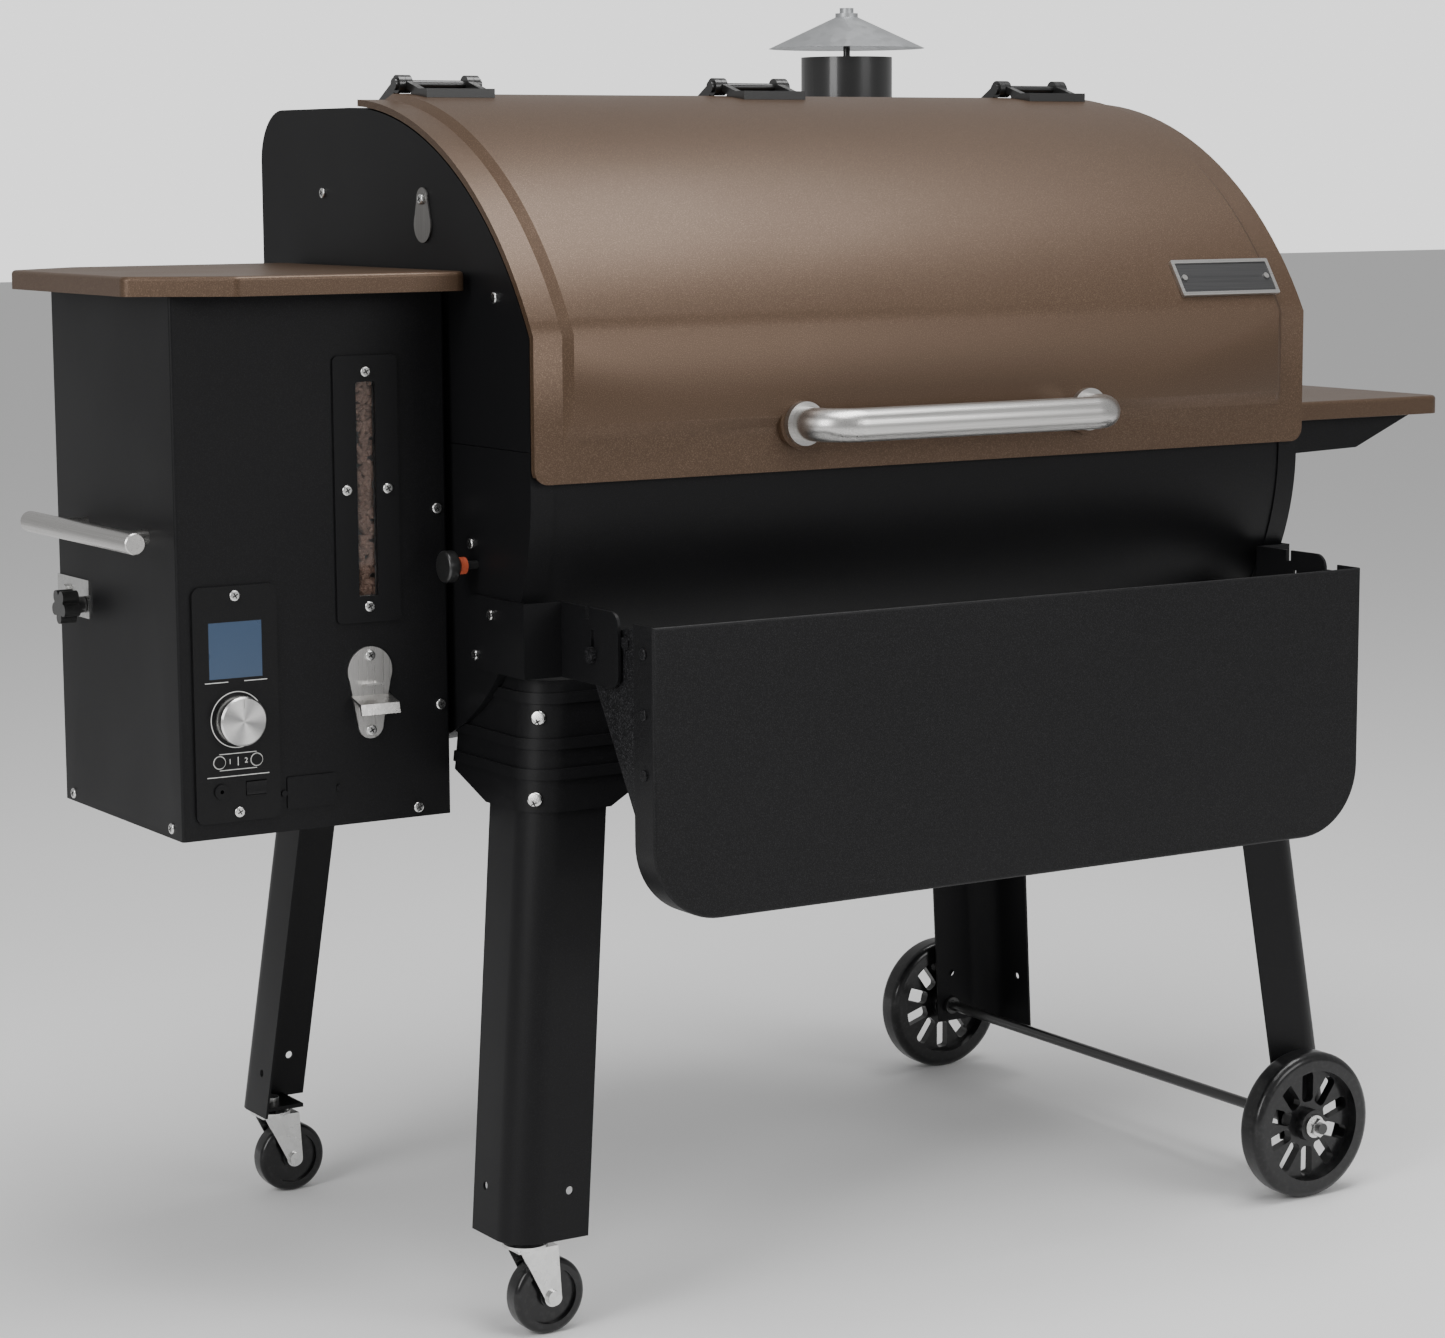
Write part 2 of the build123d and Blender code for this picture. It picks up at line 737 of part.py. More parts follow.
def leg_bolt_point(z, offset):
    """Point on the leg's rounded corner, offset outwards."""
    corner = leg_corner(z)
    inset = leg_corner_radius - (leg_corner_radius + offset) / math.sqrt(2)
    return (corner[0] + inset, corner[1] + inset, z)


bolt_direction = (-1, -1, leg_splay_x + leg_splay_y)
bolt_inwards = (1, 1, -leg_splay_x - leg_splay_y)


def bare_leg(foot_z):
    """Front left leg from a foot height up under the belly."""
    leg = splayed(angle_face(0, leg_sheet, leg_width, leg_width), foot_z, leg_top_z)
    leg -= along_x(barrel_section(seat_gap), -half_length, half_length)
    for z in saddle_bolt_zs:
        point = Vector(*leg_bolt_point(z, 0)) + Vector(*bolt_direction) * 5
        leg -= rod(point, bolt_inwards, bolt_shank_radius + hole_clearance, 24)
    return leg


def accessory_hole(leg, z):
    """Small hole through the front wing near the foot."""
    corner = leg_corner(z)
    leg -= rod((corner[0] + 58, corner[1] - 5, z), (0, 1, 0), 4, 12)
    leg -= rod((corner[0] - 5, corner[1] + 58, z), (1, 0, 0), 4, 12)
    return leg


def caster_stem_centre():
    """Plan centre of the front left caster stem."""
    corner = leg_corner(caster_leg_foot_z)
    return (corner[0] + caster_inset, corner[1] + caster_inset)


def caster_leg():
    """Leg with a welded foot plate bored for the caster stem."""
    leg = accessory_hole(bare_leg(caster_leg_foot_z), caster_leg_foot_z + 45)
    size = 54
    plate_corner = leg_corner(caster_leg_foot_z)
    inset = leg_sheet / 2
    plate = block(plate_corner[0] + inset, plate_corner[0] + inset + size, plate_corner[1] + inset,
                  plate_corner[1] + inset + size, caster_leg_foot_z, caster_leg_foot_z + 4)
    outer_edge = plate.edges().filter_by(Axis.Z).sort_by(lambda edge: edge.center().X + edge.center().Y)[0]
    leg += fillet(outer_edge, leg_corner_radius - inset)
    stem = caster_stem_centre()
    return leg - rod((stem[0], stem[1], caster_leg_foot_z - 5), (0, 0, 1),
                     caster_stem_radius + running_clearance, 20)


def wheel_leg():
    """Leg with an axle hole, drawn on the left and mirrored to the right."""
    leg = accessory_hole(bare_leg(wheel_leg_foot_z), wheel_leg_foot_z + 60)
    corner = leg_corner(wheel_radius)
    return leg - rod((-wheel_x, corner[1] - 20, wheel_radius), (0, 1, 0),
                     wheel_axle_radius + hole_clearance, 60)


def to_rear(shape):
    """Mirror a front piece to the rear leg."""
    return mirror(shape, about=Plane.XZ.offset(-leg_centre_y))


def saddle():
    """Beaded corner bracket that wraps the leg top and meets the belly."""
    offset = saddle_sheet + seat_gap
    skin = angle_face(offset, saddle_sheet, 112, 150)
    body = splayed(skin, saddle_low_z, saddle_high_z)
    for z in saddle_bead_zs:
        body += splayed(angle_face(offset + 2.5, saddle_sheet + 2.5, 110, 148), z - 5, z + 5)
    x0, y0 = leg_corner(saddle_low_z)
    left = x0 - 20
    keep_front = outline_face(
        (left, saddle_low_z), (x0 + 84, saddle_low_z), (x0 + 112, saddle_low_z + 16),
        (x0 + 112, saddle_low_z + 26), (x0 + 82, saddle_high_z - 42), (x0 + 70, saddle_high_z),
        (left, saddle_high_z))
    body = body & along_y(keep_front, y0 - 20, y0 + 400)
    keep_side = outline_face(
        (y0 - 20, saddle_low_z), (y0 + 84, saddle_low_z), (y0 + 150, saddle_low_z + 22),
        (y0 + 150, saddle_high_z), (y0 - 20, saddle_high_z))
    body = body & along_x(keep_side, x0 - 20, x0 + 400)
    body -= along_x(barrel_section(hole_clearance), -half_length - 20, half_length)
    body -= block(-half_length - 40, -half_length + 60, hanger_step_y - 60, -150, hanger_low_z - 4, 700)
    for z in saddle_bolt_zs:
        point = Vector(*leg_bolt_point(z, 0)) + Vector(*bolt_direction) * 5
        body -= rod(point, bolt_inwards, bolt_shank_radius + hole_clearance, 24)
    return body


def leg_saddles():
    """Four saddles."""
    front = saddle()
    rear = to_rear(front)
    return solids_of(front, rear, mirror_x(front), mirror_x(rear))


def chrome_bolts():
    """Saddle bolts with nuts, and the nuts and washers on the wheel axle."""
    offset = saddle_sheet + seat_gap
    shapes = []
    for z in saddle_bolt_zs:
        seat = Vector(*leg_bolt_point(z, 0)) + Vector(*bolt_direction).normalized() * offset
        head = domed_head(seat, bolt_direction, bolt_head_radius, bolt_head_height)
        bolt = head + rod(seat, bolt_inwards, bolt_shank_radius, 14)
        inner = Vector(*leg_bolt_point(z, 0)) + Vector(*bolt_inwards).normalized() * (leg_sheet + 0.9)
        bolt += rod(inner, bolt_inwards, bolt_shank_radius + 3, 4)
        shapes.extend([bolt, to_rear(bolt), mirror_x(bolt), mirror_x(to_rear(bolt))])
    for side in (-1, 1):
        shapes.append(axle_nut(side))
    return solids_of(*shapes)


# ---------------------------------------------------------------- casters and wheels
def caster_fork():
    """Swivel fork of the front left caster, its stem and its axle bolt as a second solid."""
    x, y = caster_stem_centre()
    top = caster_leg_foot_z - seat_gap
    axle_x = x + caster_trail
    cheek = caster_width / 2 + 2
    crown_z = top - 8
    crown = rod((x, y, crown_z), (0, 0, 1), 21, 3)
    crown += cone((x, y, crown_z + 3), (0, 0, 1), 19, 14, 5)
    bridge = block(x - 16, x + 26, y - cheek - caster_fork_sheet, y + cheek + caster_fork_sheet,
                   crown_z - caster_fork_sheet, crown_z)
    fork = crown + bridge
    for side in (-1, 1):
        face = outline_face(
            (x - 14, crown_z), (x + 26, crown_z), (axle_x + 9, caster_radius),
            (axle_x - 9, caster_radius))
        face += Pos(axle_x, caster_radius) * Circle(9)
        inner = y + side * cheek
        outer = y + side * (cheek + caster_fork_sheet)
        fork += along_y(face, min(inner, outer), max(inner, outer))
    fork -= rod((axle_x, y - 40, caster_radius), (0, 1, 0), caster_axle_radius + hole_clearance, 80)
    stem_top = caster_leg_foot_z + 4 + seat_gap
    fork += rod((x, y, crown_z), (0, 0, 1), caster_stem_radius, stem_top - crown_z)
    fork += rod((x, y, stem_top), (0, 0, 1), caster_stem_radius + 4, 5)
    reach = cheek + caster_fork_sheet
    axle = rod((axle_x, y - reach - 4, caster_radius), (0, 1, 0), caster_axle_radius, 2 * reach + 8)
    for side in (-1, 1):
        axle += rod((axle_x, y + side * reach, caster_radius), (0, side, 0), 7, 4)
    return solids_of(fork, axle)


def caster_wheel():
    """Front left caster wheel: hard tread with a recessed hub."""
    x, y = caster_stem_centre()
    axle_x = x + caster_trail
    half = caster_width / 2
    wheel = rod((axle_x, y - half, caster_radius), (0, 1, 0), caster_radius, caster_width)
    wheel = fillet(wheel.edges().filter_by(GeomType.CIRCLE), 6)
    for side in (-1, 1):
        ring = rod((axle_x, y + side * half, caster_radius), (0, -side, 0), caster_radius - 10, 4)
        ring -= rod((axle_x, y + side * half, caster_radius), (0, -side, 0), 11, 4)
        wheel -= ring
        wheel += rod((axle_x, y + side * half, caster_radius), (0, side, 0), 8, 1.7)
    return wheel - rod((axle_x, y - 40, caster_radius), (0, 1, 0),
                       caster_axle_radius + running_clearance, 80)


wheel_inner_y = leg_centre_y - leg_half_y + leg_splay_y * (wheel_radius - leg_join_z) - 3.5


def wheel(side):
    """Moulded transport wheel; side -1 is the front one."""
    def y_at(depth):
        front_y = wheel_inner_y - depth
        return front_y if side < 0 else 2 * leg_centre_y - front_y
    inner = (wheel_x, y_at(0), wheel_radius)
    out = (0, side, 0)
    body = rod(inner, out, wheel_radius, wheel_width)
    body = fillet(body.edges().filter_by(GeomType.CIRCLE), 9)
    well = wheel_radius - 19
    for depth, way in ((0, out), (wheel_width, (0, -side, 0))):
        ring = rod((wheel_x, y_at(depth), wheel_radius), way, well, 11)
        ring -= rod((wheel_x, y_at(depth), wheel_radius), way, wheel_hub_radius, 11)
        body -= ring
    web_middle = (wheel_hub_radius + well) / 2 + 2
    for i in range(wheel_spokes):
        turn = 2 * math.pi * (i + 0.5) / wheel_spokes
        place = Plane(origin=(wheel_x, y_at(0), wheel_radius), x_dir=(math.cos(turn), 0, math.sin(turn)),
                      z_dir=out)
        window = extrude(place * (Pos(web_middle, 0) * RectangleRounded(well - wheel_hub_radius - 10, 15, 5)),
                         amount=wheel_width)
        body -= window
    return body - rod((wheel_x, y_at(-5), wheel_radius), out,
                      wheel_axle_radius + running_clearance, wheel_width + 10)


def wheel_axle():
    """One rod through both right legs and both wheels."""
    reach = leg_centre_y - wheel_inner_y + wheel_width + 14
    axle = rod((wheel_x, leg_centre_y - reach, wheel_radius), (0, 1, 0), wheel_axle_radius, 2 * reach)
    for side in (-1, 1):
        stop_y = leg_centre_y + side * (leg_centre_y - wheel_inner_y - 7.5)
        axle += rod((wheel_x, stop_y, wheel_radius), (0, -side, 0), wheel_axle_radius + 4, 4)
    return axle


def axle_nut(side):
    """Washer and hex nut outside one wheel; side -1 is the front."""
    seat = leg_centre_y - wheel_inner_y + wheel_width + seat_gap
    origin = (wheel_x, leg_centre_y + side * seat, wheel_radius)
    plane = Plane(origin=origin, z_dir=(0, side, 0))
    washer = plane * extrude(Circle(12), amount=2)
    nut = plane * (Pos(0, 0, 2) * extrude(RegularPolygon(10, 6), amount=8))
    return washer + nut - rod((wheel_x, leg_centre_y + side * (seat - 5), wheel_radius), (0, side, 0),
                              wheel_axle_radius + 0.01, 30)


# ---------------------------------------------------------------- hopper
front_screw_places = [(hopper_right - 10.7, 766.8), (hopper_right - 9.9, 580.0), (hopper_right - 35.3, 483.3)]
left_screw_places = [(52.0, 482.0), (-186.0, 484.0)]


def front_hole(x, z, radius):
    """Round cutter through the hopper's front wall."""
    return rod((x, hopper_front - 5, z), (0, 1, 0), radius, 12)


def hopper_body():
    """Open-topped sheet box with openings for the window, the controls and the auger."""
    box = block(hopper_left, hopper_right, hopper_front, hopper_back, hopper_bottom_z, hopper_rim_z)
    upright = box.edges().filter_by(Axis.Z)
    box = fillet(upright, 3)
    t = hopper_sheet
    box -= block(hopper_left + t, hopper_right - t, hopper_front + t, hopper_back - t,
                 hopper_bottom_z + t, hopper_rim_z + 10)
    slot = plate_face(window_slot_width, window_slot_height, 2, (window_centre_x, window_centre_z))
    box -= along_y(slot, hopper_front - 5, hopper_front + 10)
    recess = plate_face(control_width - 14, control_high_z - control_low_z - 34, 4,
                        (control_centre_x, (control_low_z + control_high_z) / 2))
    box -= along_y(recess, hopper_front - 5, hopper_front + 10)
    for x, z in front_screw_places + window_screw_places() + opener_screw_places + control_screw_places():
        box -= screw_hole((x, hopper_front, z), (0, -1, 0))
    for y, z in left_screw_places:
        box -= screw_hole((hopper_left, y, z), (-1, 0, 0))
    for y in side_handle_post_ys:
        box -= rod((hopper_left - 1, y, side_handle_z), (1, 0, 0), 3 + hole_clearance, 5)
    box -= rod((hopper_left - 1, cleanout_y, cleanout_z), (1, 0, 0), 4 + running_clearance, 5)
    box -= rod((hopper_right - 5, auger_y, auger_z), (1, 0, 0), auger_tube_radius + hole_clearance, 8)
    inlet = block(inlet_x - 14, inlet_x + 14, hopper_back - 5, hopper_back + 5, inlet_z - 10, inlet_z + 10)
    return box - inlet


inlet_x = -690.0
inlet_z = 520.0
opener_screw_places = [(opener_x, 632.7), (opener_x, 562.0)]


def window_screw_places():
    """Four screws: top, bottom and both sides of the window frame."""
    half_tall = window_frame_height / 2 - 15
    half_wide = window_frame_width / 2 - 12
    return [
        (window_centre_x, window_centre_z + half_tall), (window_centre_x, window_centre_z - half_tall),
        (window_centre_x - half_wide, window_centre_z), (window_centre_x + half_wide, window_centre_z)]


def control_screw_places():
    """Top and bottom screws of the control panel."""
    return [(control_centre_x, control_high_z - 9), (control_centre_x, control_low_z + 9)]


def hopper_trim():
    """Window frame, blank name plate and the zinc clean-out plate."""
    frame_face = plate_face(window_frame_width, window_frame_height, 5, (window_centre_x, window_centre_z))
    frame_face -= plate_face(window_slot_width, window_slot_height, 2, (window_centre_x, window_centre_z))
    frame = along_y(frame_face, hopper_front - window_frame_sheet, hopper_front)
    for x, z in window_screw_places():
        frame -= front_hole(x, z, screw_shank_radius + hole_clearance)
    badge = along_y(plate_face(50, 30, 2, (-612, 510)), hopper_front - 1.6, hopper_front)
    for side in (-1, 1):
        badge += rod((-612 + side * 28, hopper_front, 510), (0, -1, 0), 3, 2)
        badge += block(-612 + side * 22, -612 + side * 28, hopper_front - 1, hopper_front, 508, 512)
    plate = block(hopper_left - 2, hopper_left, cleanout_y - 12, cleanout_y + 66, cleanout_z - 13, cleanout_z + 24)
    plate += rod((hopper_left - 2, cleanout_y + 42, cleanout_z + 10), (-1, 0, 0), 6, 4)
    plate -= rod((hopper_left - 9, cleanout_y, cleanout_z), (1, 0, 0), 4 + running_clearance, 12)
    return solids_of(frame, badge, plate)


def window_panes():
    """Pellet window pane behind the front wall and the display glass in the control panel."""
    inside = hopper_front + hopper_sheet
    pane = block(window_centre_x - 17, window_centre_x + 17, inside, inside + window_pane_sheet,
                 window_centre_z - 107, window_centre_z + 107)
    for x, z in window_screw_places():
        pane -= rod((x, inside - 5, z), (0, 1, 0), screw_shank_radius + 0.5, 20)
    face_y = hopper_front - control_sheet
    glass = block(control_centre_x - screen_width / 2, control_centre_x + screen_width / 2,
                  face_y + 0.2, face_y + 2, screen_centre_z - screen_height / 2, screen_centre_z + screen_height / 2)
    return solids_of(pane, glass)


def control_panel():
    """Moulded fascia with pockets for the display, knob, buttons and rocker, and the probe jack."""
    middle_z = (control_low_z + control_high_z) / 2
    face_y = hopper_front - control_sheet
    panel = along_y(plate_face(control_width, control_high_z - control_low_z, 8, (control_centre_x, middle_z)),
                    face_y, hopper_front)
    gap = seat_gap
    panel -= block(control_centre_x - screen_width / 2, control_centre_x + screen_width / 2, face_y - 1,
                   face_y + 2, screen_centre_z - screen_height / 2, screen_centre_z + screen_height / 2)
    panel -= rod((control_centre_x, face_y - 1, knob_z), (0, 1, 0), 3 + running_clearance, 10)
    for side in (-1, 1):
        panel -= rod((control_centre_x + side * button_half_spacing, face_y - 1, button_z), (0, 1, 0),
                     button_radius + gap, 10)
    rocker_x = control_centre_x + 17.5
    panel -= block(rocker_x - rocker_width / 2 - gap, rocker_x + rocker_width / 2 + gap, face_y - 1,
                   hopper_front + 1, rocker_z - rocker_height / 2 - gap, rocker_z + rocker_height / 2 + gap)
    for x, z in control_screw_places():
        panel -= front_hole(x, z, screw_shank_radius + hole_clearance)
    jack_x = control_centre_x - 17.5
    panel -= rod((jack_x, face_y - 1, jack_z), (0, 1, 0), 4 + hole_clearance, 10)
    jack = rod((jack_x, face_y, jack_z), (0, -1, 0), 7, 2)
    jack += rod((jack_x, face_y, jack_z), (0, 1, 0), 4, 4)
    jack -= rod((jack_x, face_y - 3, jack_z), (0, 1, 0), 1.8, 6)
    return solids_of(panel, jack)


def controller_box():
    """Electronics housing behind the fascia; its face carries the knob shaft and button stops."""
    front = hopper_front + hopper_sheet + 1.6
    box = block(control_centre_x - 34, control_centre_x + 34, front, front + controller_depth,
                control_low_z + 20, bin_throat_z + 8)
    box -= rod((control_centre_x, front - 1, knob_z), (0, 1, 0), 3 + running_clearance, 12)
    return box


def control_knob():
    """Turned dial on a shaft, with a pointer groove."""
    face_y = hopper_front - control_sheet - seat_gap
    knob = rod((control_centre_x, face_y, knob_z), (0, -1, 0), knob_radius, knob_height)
    rim = knob.edges().filter_by(GeomType.CIRCLE).sort_by(Axis.Y)[0]
    knob = chamfer(rim, 1.5)
    shaft_end = hopper_front + hopper_sheet + 1.6 + 8
    knob += rod((control_centre_x, face_y, knob_z), (0, 1, 0), 3, shaft_end - face_y)
    return knob - block(control_centre_x - 0.6, control_centre_x + 0.6, face_y - knob_height - 1,
                        face_y - knob_height + 0.6, knob_z + 12, knob_z + 20)


def push_button(side):
    """Round probe button with a hidden stop flange."""
    x = control_centre_x + side * button_half_spacing
    face_y = hopper_front - control_sheet
    back_y = hopper_front + hopper_sheet + 1.6 - button_travel - 0.2
    return rod((x, face_y - 1.8, button_z), (0, 1, 0), button_radius, back_y - face_y + 1.8)


def power_rocker():
    """Rocker switch cap on its own pivot line."""
    x = control_centre_x + 17.5
    face_y = hopper_front - control_sheet
    profile = outline_face(
        (face_y + 2.6, rocker_z - rocker_height / 2 + 0.3), (face_y - 1.6, rocker_z - rocker_height / 2 + 0.5),
        (face_y - 0.4, rocker_z), (face_y - 1.6, rocker_z + rocker_height / 2 - 0.5),
        (face_y + 2.6, rocker_z + rocker_height / 2 - 0.3))
    return along_x(profile, x - rocker_width / 2, x + rocker_width / 2)


def bottle_opener():
    """Pressed steel plate with a hooked lip that stands forward."""
    height = opener_high_z - opener_low_z
    middle_z = (opener_low_z + opener_high_z) / 2
    outline = Pos(opener_x, opener_high_z - opener_width / 2) * Circle(opener_width / 2)
    outline += Pos(opener_x, opener_low_z + 13) * Circle(13)
    outline += outline_face(
        (opener_x - opener_width / 2, opener_high_z - opener_width / 2),
        (opener_x + opener_width / 2, opener_high_z - opener_width / 2),
        (opener_x + 13, opener_low_z + 13), (opener_x - 13, opener_low_z + 13))
    plate = along_y(outline, hopper_front - 2, hopper_front)
    lip_z = middle_z - 4
    lip = outline_face(
        (hopper_front - 1, lip_z + 2), (hopper_front - 22, lip_z - 4), (hopper_front - 24, lip_z - height * 0.16),
        (hopper_front - 21.6, lip_z - height * 0.16), (hopper_front - 19.6, lip_z - 6), (hopper_front - 1, lip_z))
    plate += along_x(lip, opener_x - 20, opener_x + 20)
    hook = outline_face(
        (hopper_front - 1, lip_z + 12), (hopper_front - 12, lip_z + 14), (hopper_front - 12, lip_z + 12),
        (hopper_front - 1, lip_z + 10))
    plate += along_x(hook, opener_x - 9, opener_x + 9)
    for x, z in opener_screw_places:
        plate -= front_hole(x, z, screw_shank_radius + hole_clearance)
    return plate


def hopper_bin():
    """Pellet bin: straight upper walls, slanted floor down to the auger throat."""
    t = bin_wall
    front = hopper_front + hopper_sheet + window_pane_sheet + seat_gap
    left, right = hopper_left + 6, hopper_right - 6
    back = hopper_back - 6
    knee = window_centre_z - 112
    throat_x = bin_throat_x
    half = bin_throat_size / 2

    def funnel(inset, top_z, low_z):
        top = Plane.XY.offset(knee) * (Pos((left + right) / 2, (front + back) / 2) * Rectangle(
            right - left - 2 * inset, back - front - 2 * inset))
        low = Plane.XY.offset(low_z) * (Pos(throat_x, auger_y) * Rectangle(
            2 * half - 2 * inset, 2 * half - 2 * inset))
        walls = block(left + inset, right - inset, front + inset, back - inset, knee, top_z)
        return walls + loft([low, top], ruled=True)

    skin = funnel(0, hopper_rim_z - 8, bin_throat_z)
    hollow = funnel(t, hopper_rim_z, bin_throat_z - 0.01)
    bin_shape = skin - hollow
    bin_shape += neck_ring(half, t)
    rim_z = hopper_rim_z - 8
    rim = block(hopper_left + hopper_sheet, hopper_right - hopper_sheet, hopper_front + hopper_sheet,
                hopper_back - hopper_sheet, rim_z - t, rim_z)
    rim -= block(left + t, right - t, front + t, back - t, rim_z - 10, rim_z + 10)
    bin_shape += rim
    slot = plate_face(window_slot_width, window_slot_height, 2, (window_centre_x, window_centre_z))
    return bin_shape - along_y(slot, front - 5, front + 10)


def neck_ring(half, t):
    """Square neck from the bin floor down to the auger tube's top."""
    low = auger_z + auger_tube_radius - 4
    outer = block(bin_throat_x - half, bin_throat_x + half, auger_y - half, auger_y + half, low, bin_throat_z + 1)
    inner = block(bin_throat_x - half + t, bin_throat_x + half - t, auger_y - half + t, auger_y + half - t,
                  low - 1, bin_throat_z + 2)
    tube = rod((bin_throat_x - half - 5, auger_y, auger_z), (1, 0, 0), auger_tube_radius + hole_clearance,
               2 * half + 10)
    return outer - inner - tube


bin_throat_x = hopper_left + 142


def hopper_grate():
    """Wire safety grate across the bin, resting on its rim."""
    z = hopper_rim_z - 8
    left, right = hopper_left + 4, hopper_right - 4
    front, back = hopper_front + 4, hopper_back - 4
    frame = along_z(Pos((left + right) / 2, (front + back) / 2)
                    * (Rectangle(right - left, back - front) - Rectangle(right - left - 12, back - front - 12)),
                    z, z + 3)
    count = 11
    pitch = (right - left) / (count + 1)
    for i in range(count):
        x = left + pitch * (i + 1)
        frame += block(x - 1.5, x + 1.5, front + 2, back - 2, z, z + 3)
    return frame


def hopper_lid():
    """Folded pan with two clipped left corners; its hinge knuckles sit at the rear."""
    def plan(inset):
        left, right = hopper_lid_left + inset, hopper_lid_right - inset
        front, back = hopper_lid_front + inset, hopper_lid_back - inset
        cut = inset * 0.4
        return outline_face(
            (right, front), (right, back),
            (left + hopper_lid_chamfer_x - cut, back), (left, back - hopper_lid_chamfer_y + cut),
            (left, front + hopper_lid_chamfer_y - cut), (left + hopper_lid_chamfer_x - cut, front))
    low = hopper_lid_top_z - hopper_lid_lip
    pan = along_z(plan(0), low, hopper_lid_top_z)
    pan = fillet(pan.edges().filter_by(Axis.Z), 12)
    pan = fillet(pan.faces().sort_by(Axis.Z)[-1].edges(), 4)
    hollow = along_z(plan(hopper_lid_sheet), low - 1, hopper_lid_top_z - hopper_lid_sheet)
    hollow = fillet(hollow.edges().filter_by(Axis.Z), 10)
    pan -= hollow
    for x in hopper_hinge_xs:
        leaf = block(x - 18, x + 18, hopper_hinge_y - 8, hopper_hinge_y + 34, hopper_lid_top_z - 6,
                     hopper_lid_top_z - 1)
        ear_face = Pos(hopper_hinge_y, hopper_hinge_z) * Circle(6)
        ear_face += outline_face(
            (hopper_hinge_y - 6, hopper_hinge_z), (hopper_hinge_y + 6, hopper_hinge_z),
            (hopper_hinge_y + 12, hopper_lid_top_z - 4), (hopper_hinge_y - 6, hopper_lid_top_z - 4))
        ear = along_x(ear_face, x - 18, x + 18)
        ear -= block(x - 10.3, x + 10.3, hopper_hinge_y - 8, hopper_hinge_y + 8, hopper_hinge_z - 8,
                     hopper_hinge_z + 8)
        pan += leaf + ear
        pan -= rod((x - 20, hopper_hinge_y, hopper_hinge_z), (1, 0, 0), 3 + running_clearance, 40)
    return pan


hopper_hinge_xs = (hopper_left + 42, hopper_right - 44.6)


def hopper_hinges():
    """Two fixed knuckles on the hopper's back wall with their pins as separate solids."""
    shapes = []
    for x in hopper_hinge_xs:
        knuckle = rod((x - 10, hopper_hinge_y, hopper_hinge_z), (1, 0, 0), 6, 20)
        knuckle += block(x - 10, x + 10, hopper_back, hopper_hinge_y, hopper_hinge_z - 6, hopper_hinge_z)
        knuckle += block(x - 10, x + 10, hopper_back, hopper_back + 3, hopper_hinge_z - 34, hopper_hinge_z)
        knuckle -= rod((x - 11, hopper_hinge_y, hopper_hinge_z), (1, 0, 0), 3.01, 22)
        pin = rod((x - 19, hopper_hinge_y, hopper_hinge_z), (1, 0, 0), 3, 38)
        shapes.extend([knuckle, pin])
    return solids_of(*shapes)


def side_handle():
    """Stainless push bar on two dark posts."""
    x = hopper_left - side_handle_standoff
    low = side_handle_post_ys[0] - side_handle_overhang
    high = side_handle_post_ys[1] + side_handle_overhang
    bar = rod((x, low, side_handle_z), (0, 1, 0), side_handle_radius, high - low)
    bar = chamfer(bar.edges().filter_by(GeomType.CIRCLE), 1)
    shapes = []
    for y in side_handle_post_ys:
        post = rod((hopper_left, y, side_handle_z), (-1, 0, 0), side_post_radius, side_handle_standoff)
        post += rod((hopper_left, y, side_handle_z), (1, 0, 0), 3, 5)
        shapes.append(post - rod((x, low - 1, side_handle_z), (0, 1, 0), side_handle_radius, high - low + 2))
    return solids_of(bar, *shapes)


def cleanout_knob():
    """Five-lobed knob on a threaded stem."""
    head = Circle(11)
    for i in range(5):
        turn = 2 * math.pi * i / 5
        head += Pos(11 * math.cos(turn), 11 * math.sin(turn)) * Circle(6)
    plane = Plane(origin=(hopper_left - 12, cleanout_y, cleanout_z), z_dir=(-1, 0, 0))
    knob = plane * extrude(head, amount=16)
    knob += rod((hopper_left - 12, cleanout_y, cleanout_z), (1, 0, 0), 8, 9.5)
    return knob + rod((hopper_left - 12, cleanout_y, cleanout_z), (1, 0, 0), 4, 17)


def power_inlet():
    """Appliance inlet in the hopper's back wall; the cord itself is separate."""
    body = block(inlet_x - 13.5, inlet_x + 13.5, hopper_back - 20, hopper_back, inlet_z - 9.5, inlet_z + 9.5)
    flange = block(inlet_x - 18, inlet_x + 18, hopper_back, hopper_back + 3, inlet_z - 14, inlet_z + 14)
    body += flange
    body -= block(inlet_x - 10, inlet_x + 10, hopper_back - 14, hopper_back + 5, inlet_z - 6, inlet_z + 6)
    for i in (-1, 0, 1):
        body += block(inlet_x + 6 * i - 1, inlet_x + 6 * i + 1, hopper_back - 15, hopper_back - 3,
                      inlet_z - 2, inlet_z + 2)
    return body


# ---------------------------------------------------------------- fire box
def auger_tube():
    """Feed tube from the bin's throat to the fire pot, with a flange on each sheet wall."""
    end = fire_pot_x - fire_pot_radius + 1
    tube = rod((auger_tube_left, auger_y, auger_z), (1, 0, 0), auger_tube_radius, end - auger_tube_left)
    for x in (hopper_right + seat_gap, -half_length + panel_sheet):
        tube += rod((x, auger_y, auger_z), (1, 0, 0), auger_tube_radius + 14, 2)
    tube -= rod((auger_tube_left - 1, auger_y, auger_z), (1, 0, 0), auger_tube_radius - auger_tube_wall,
                end - auger_tube_left + 2)
    half = bin_throat_size / 2 - 6
    tube -= block(bin_throat_x - half, bin_throat_x + half, auger_y - 22, auger_y + 22, auger_z + 8,
                  auger_z + auger_tube_radius + 2)
    wall = rod((fire_pot_x, auger_y, fire_pot_low_z()), (0, 0, 1), fire_pot_radius + hole_clearance,
               fire_pot_height)
    return tube - wall


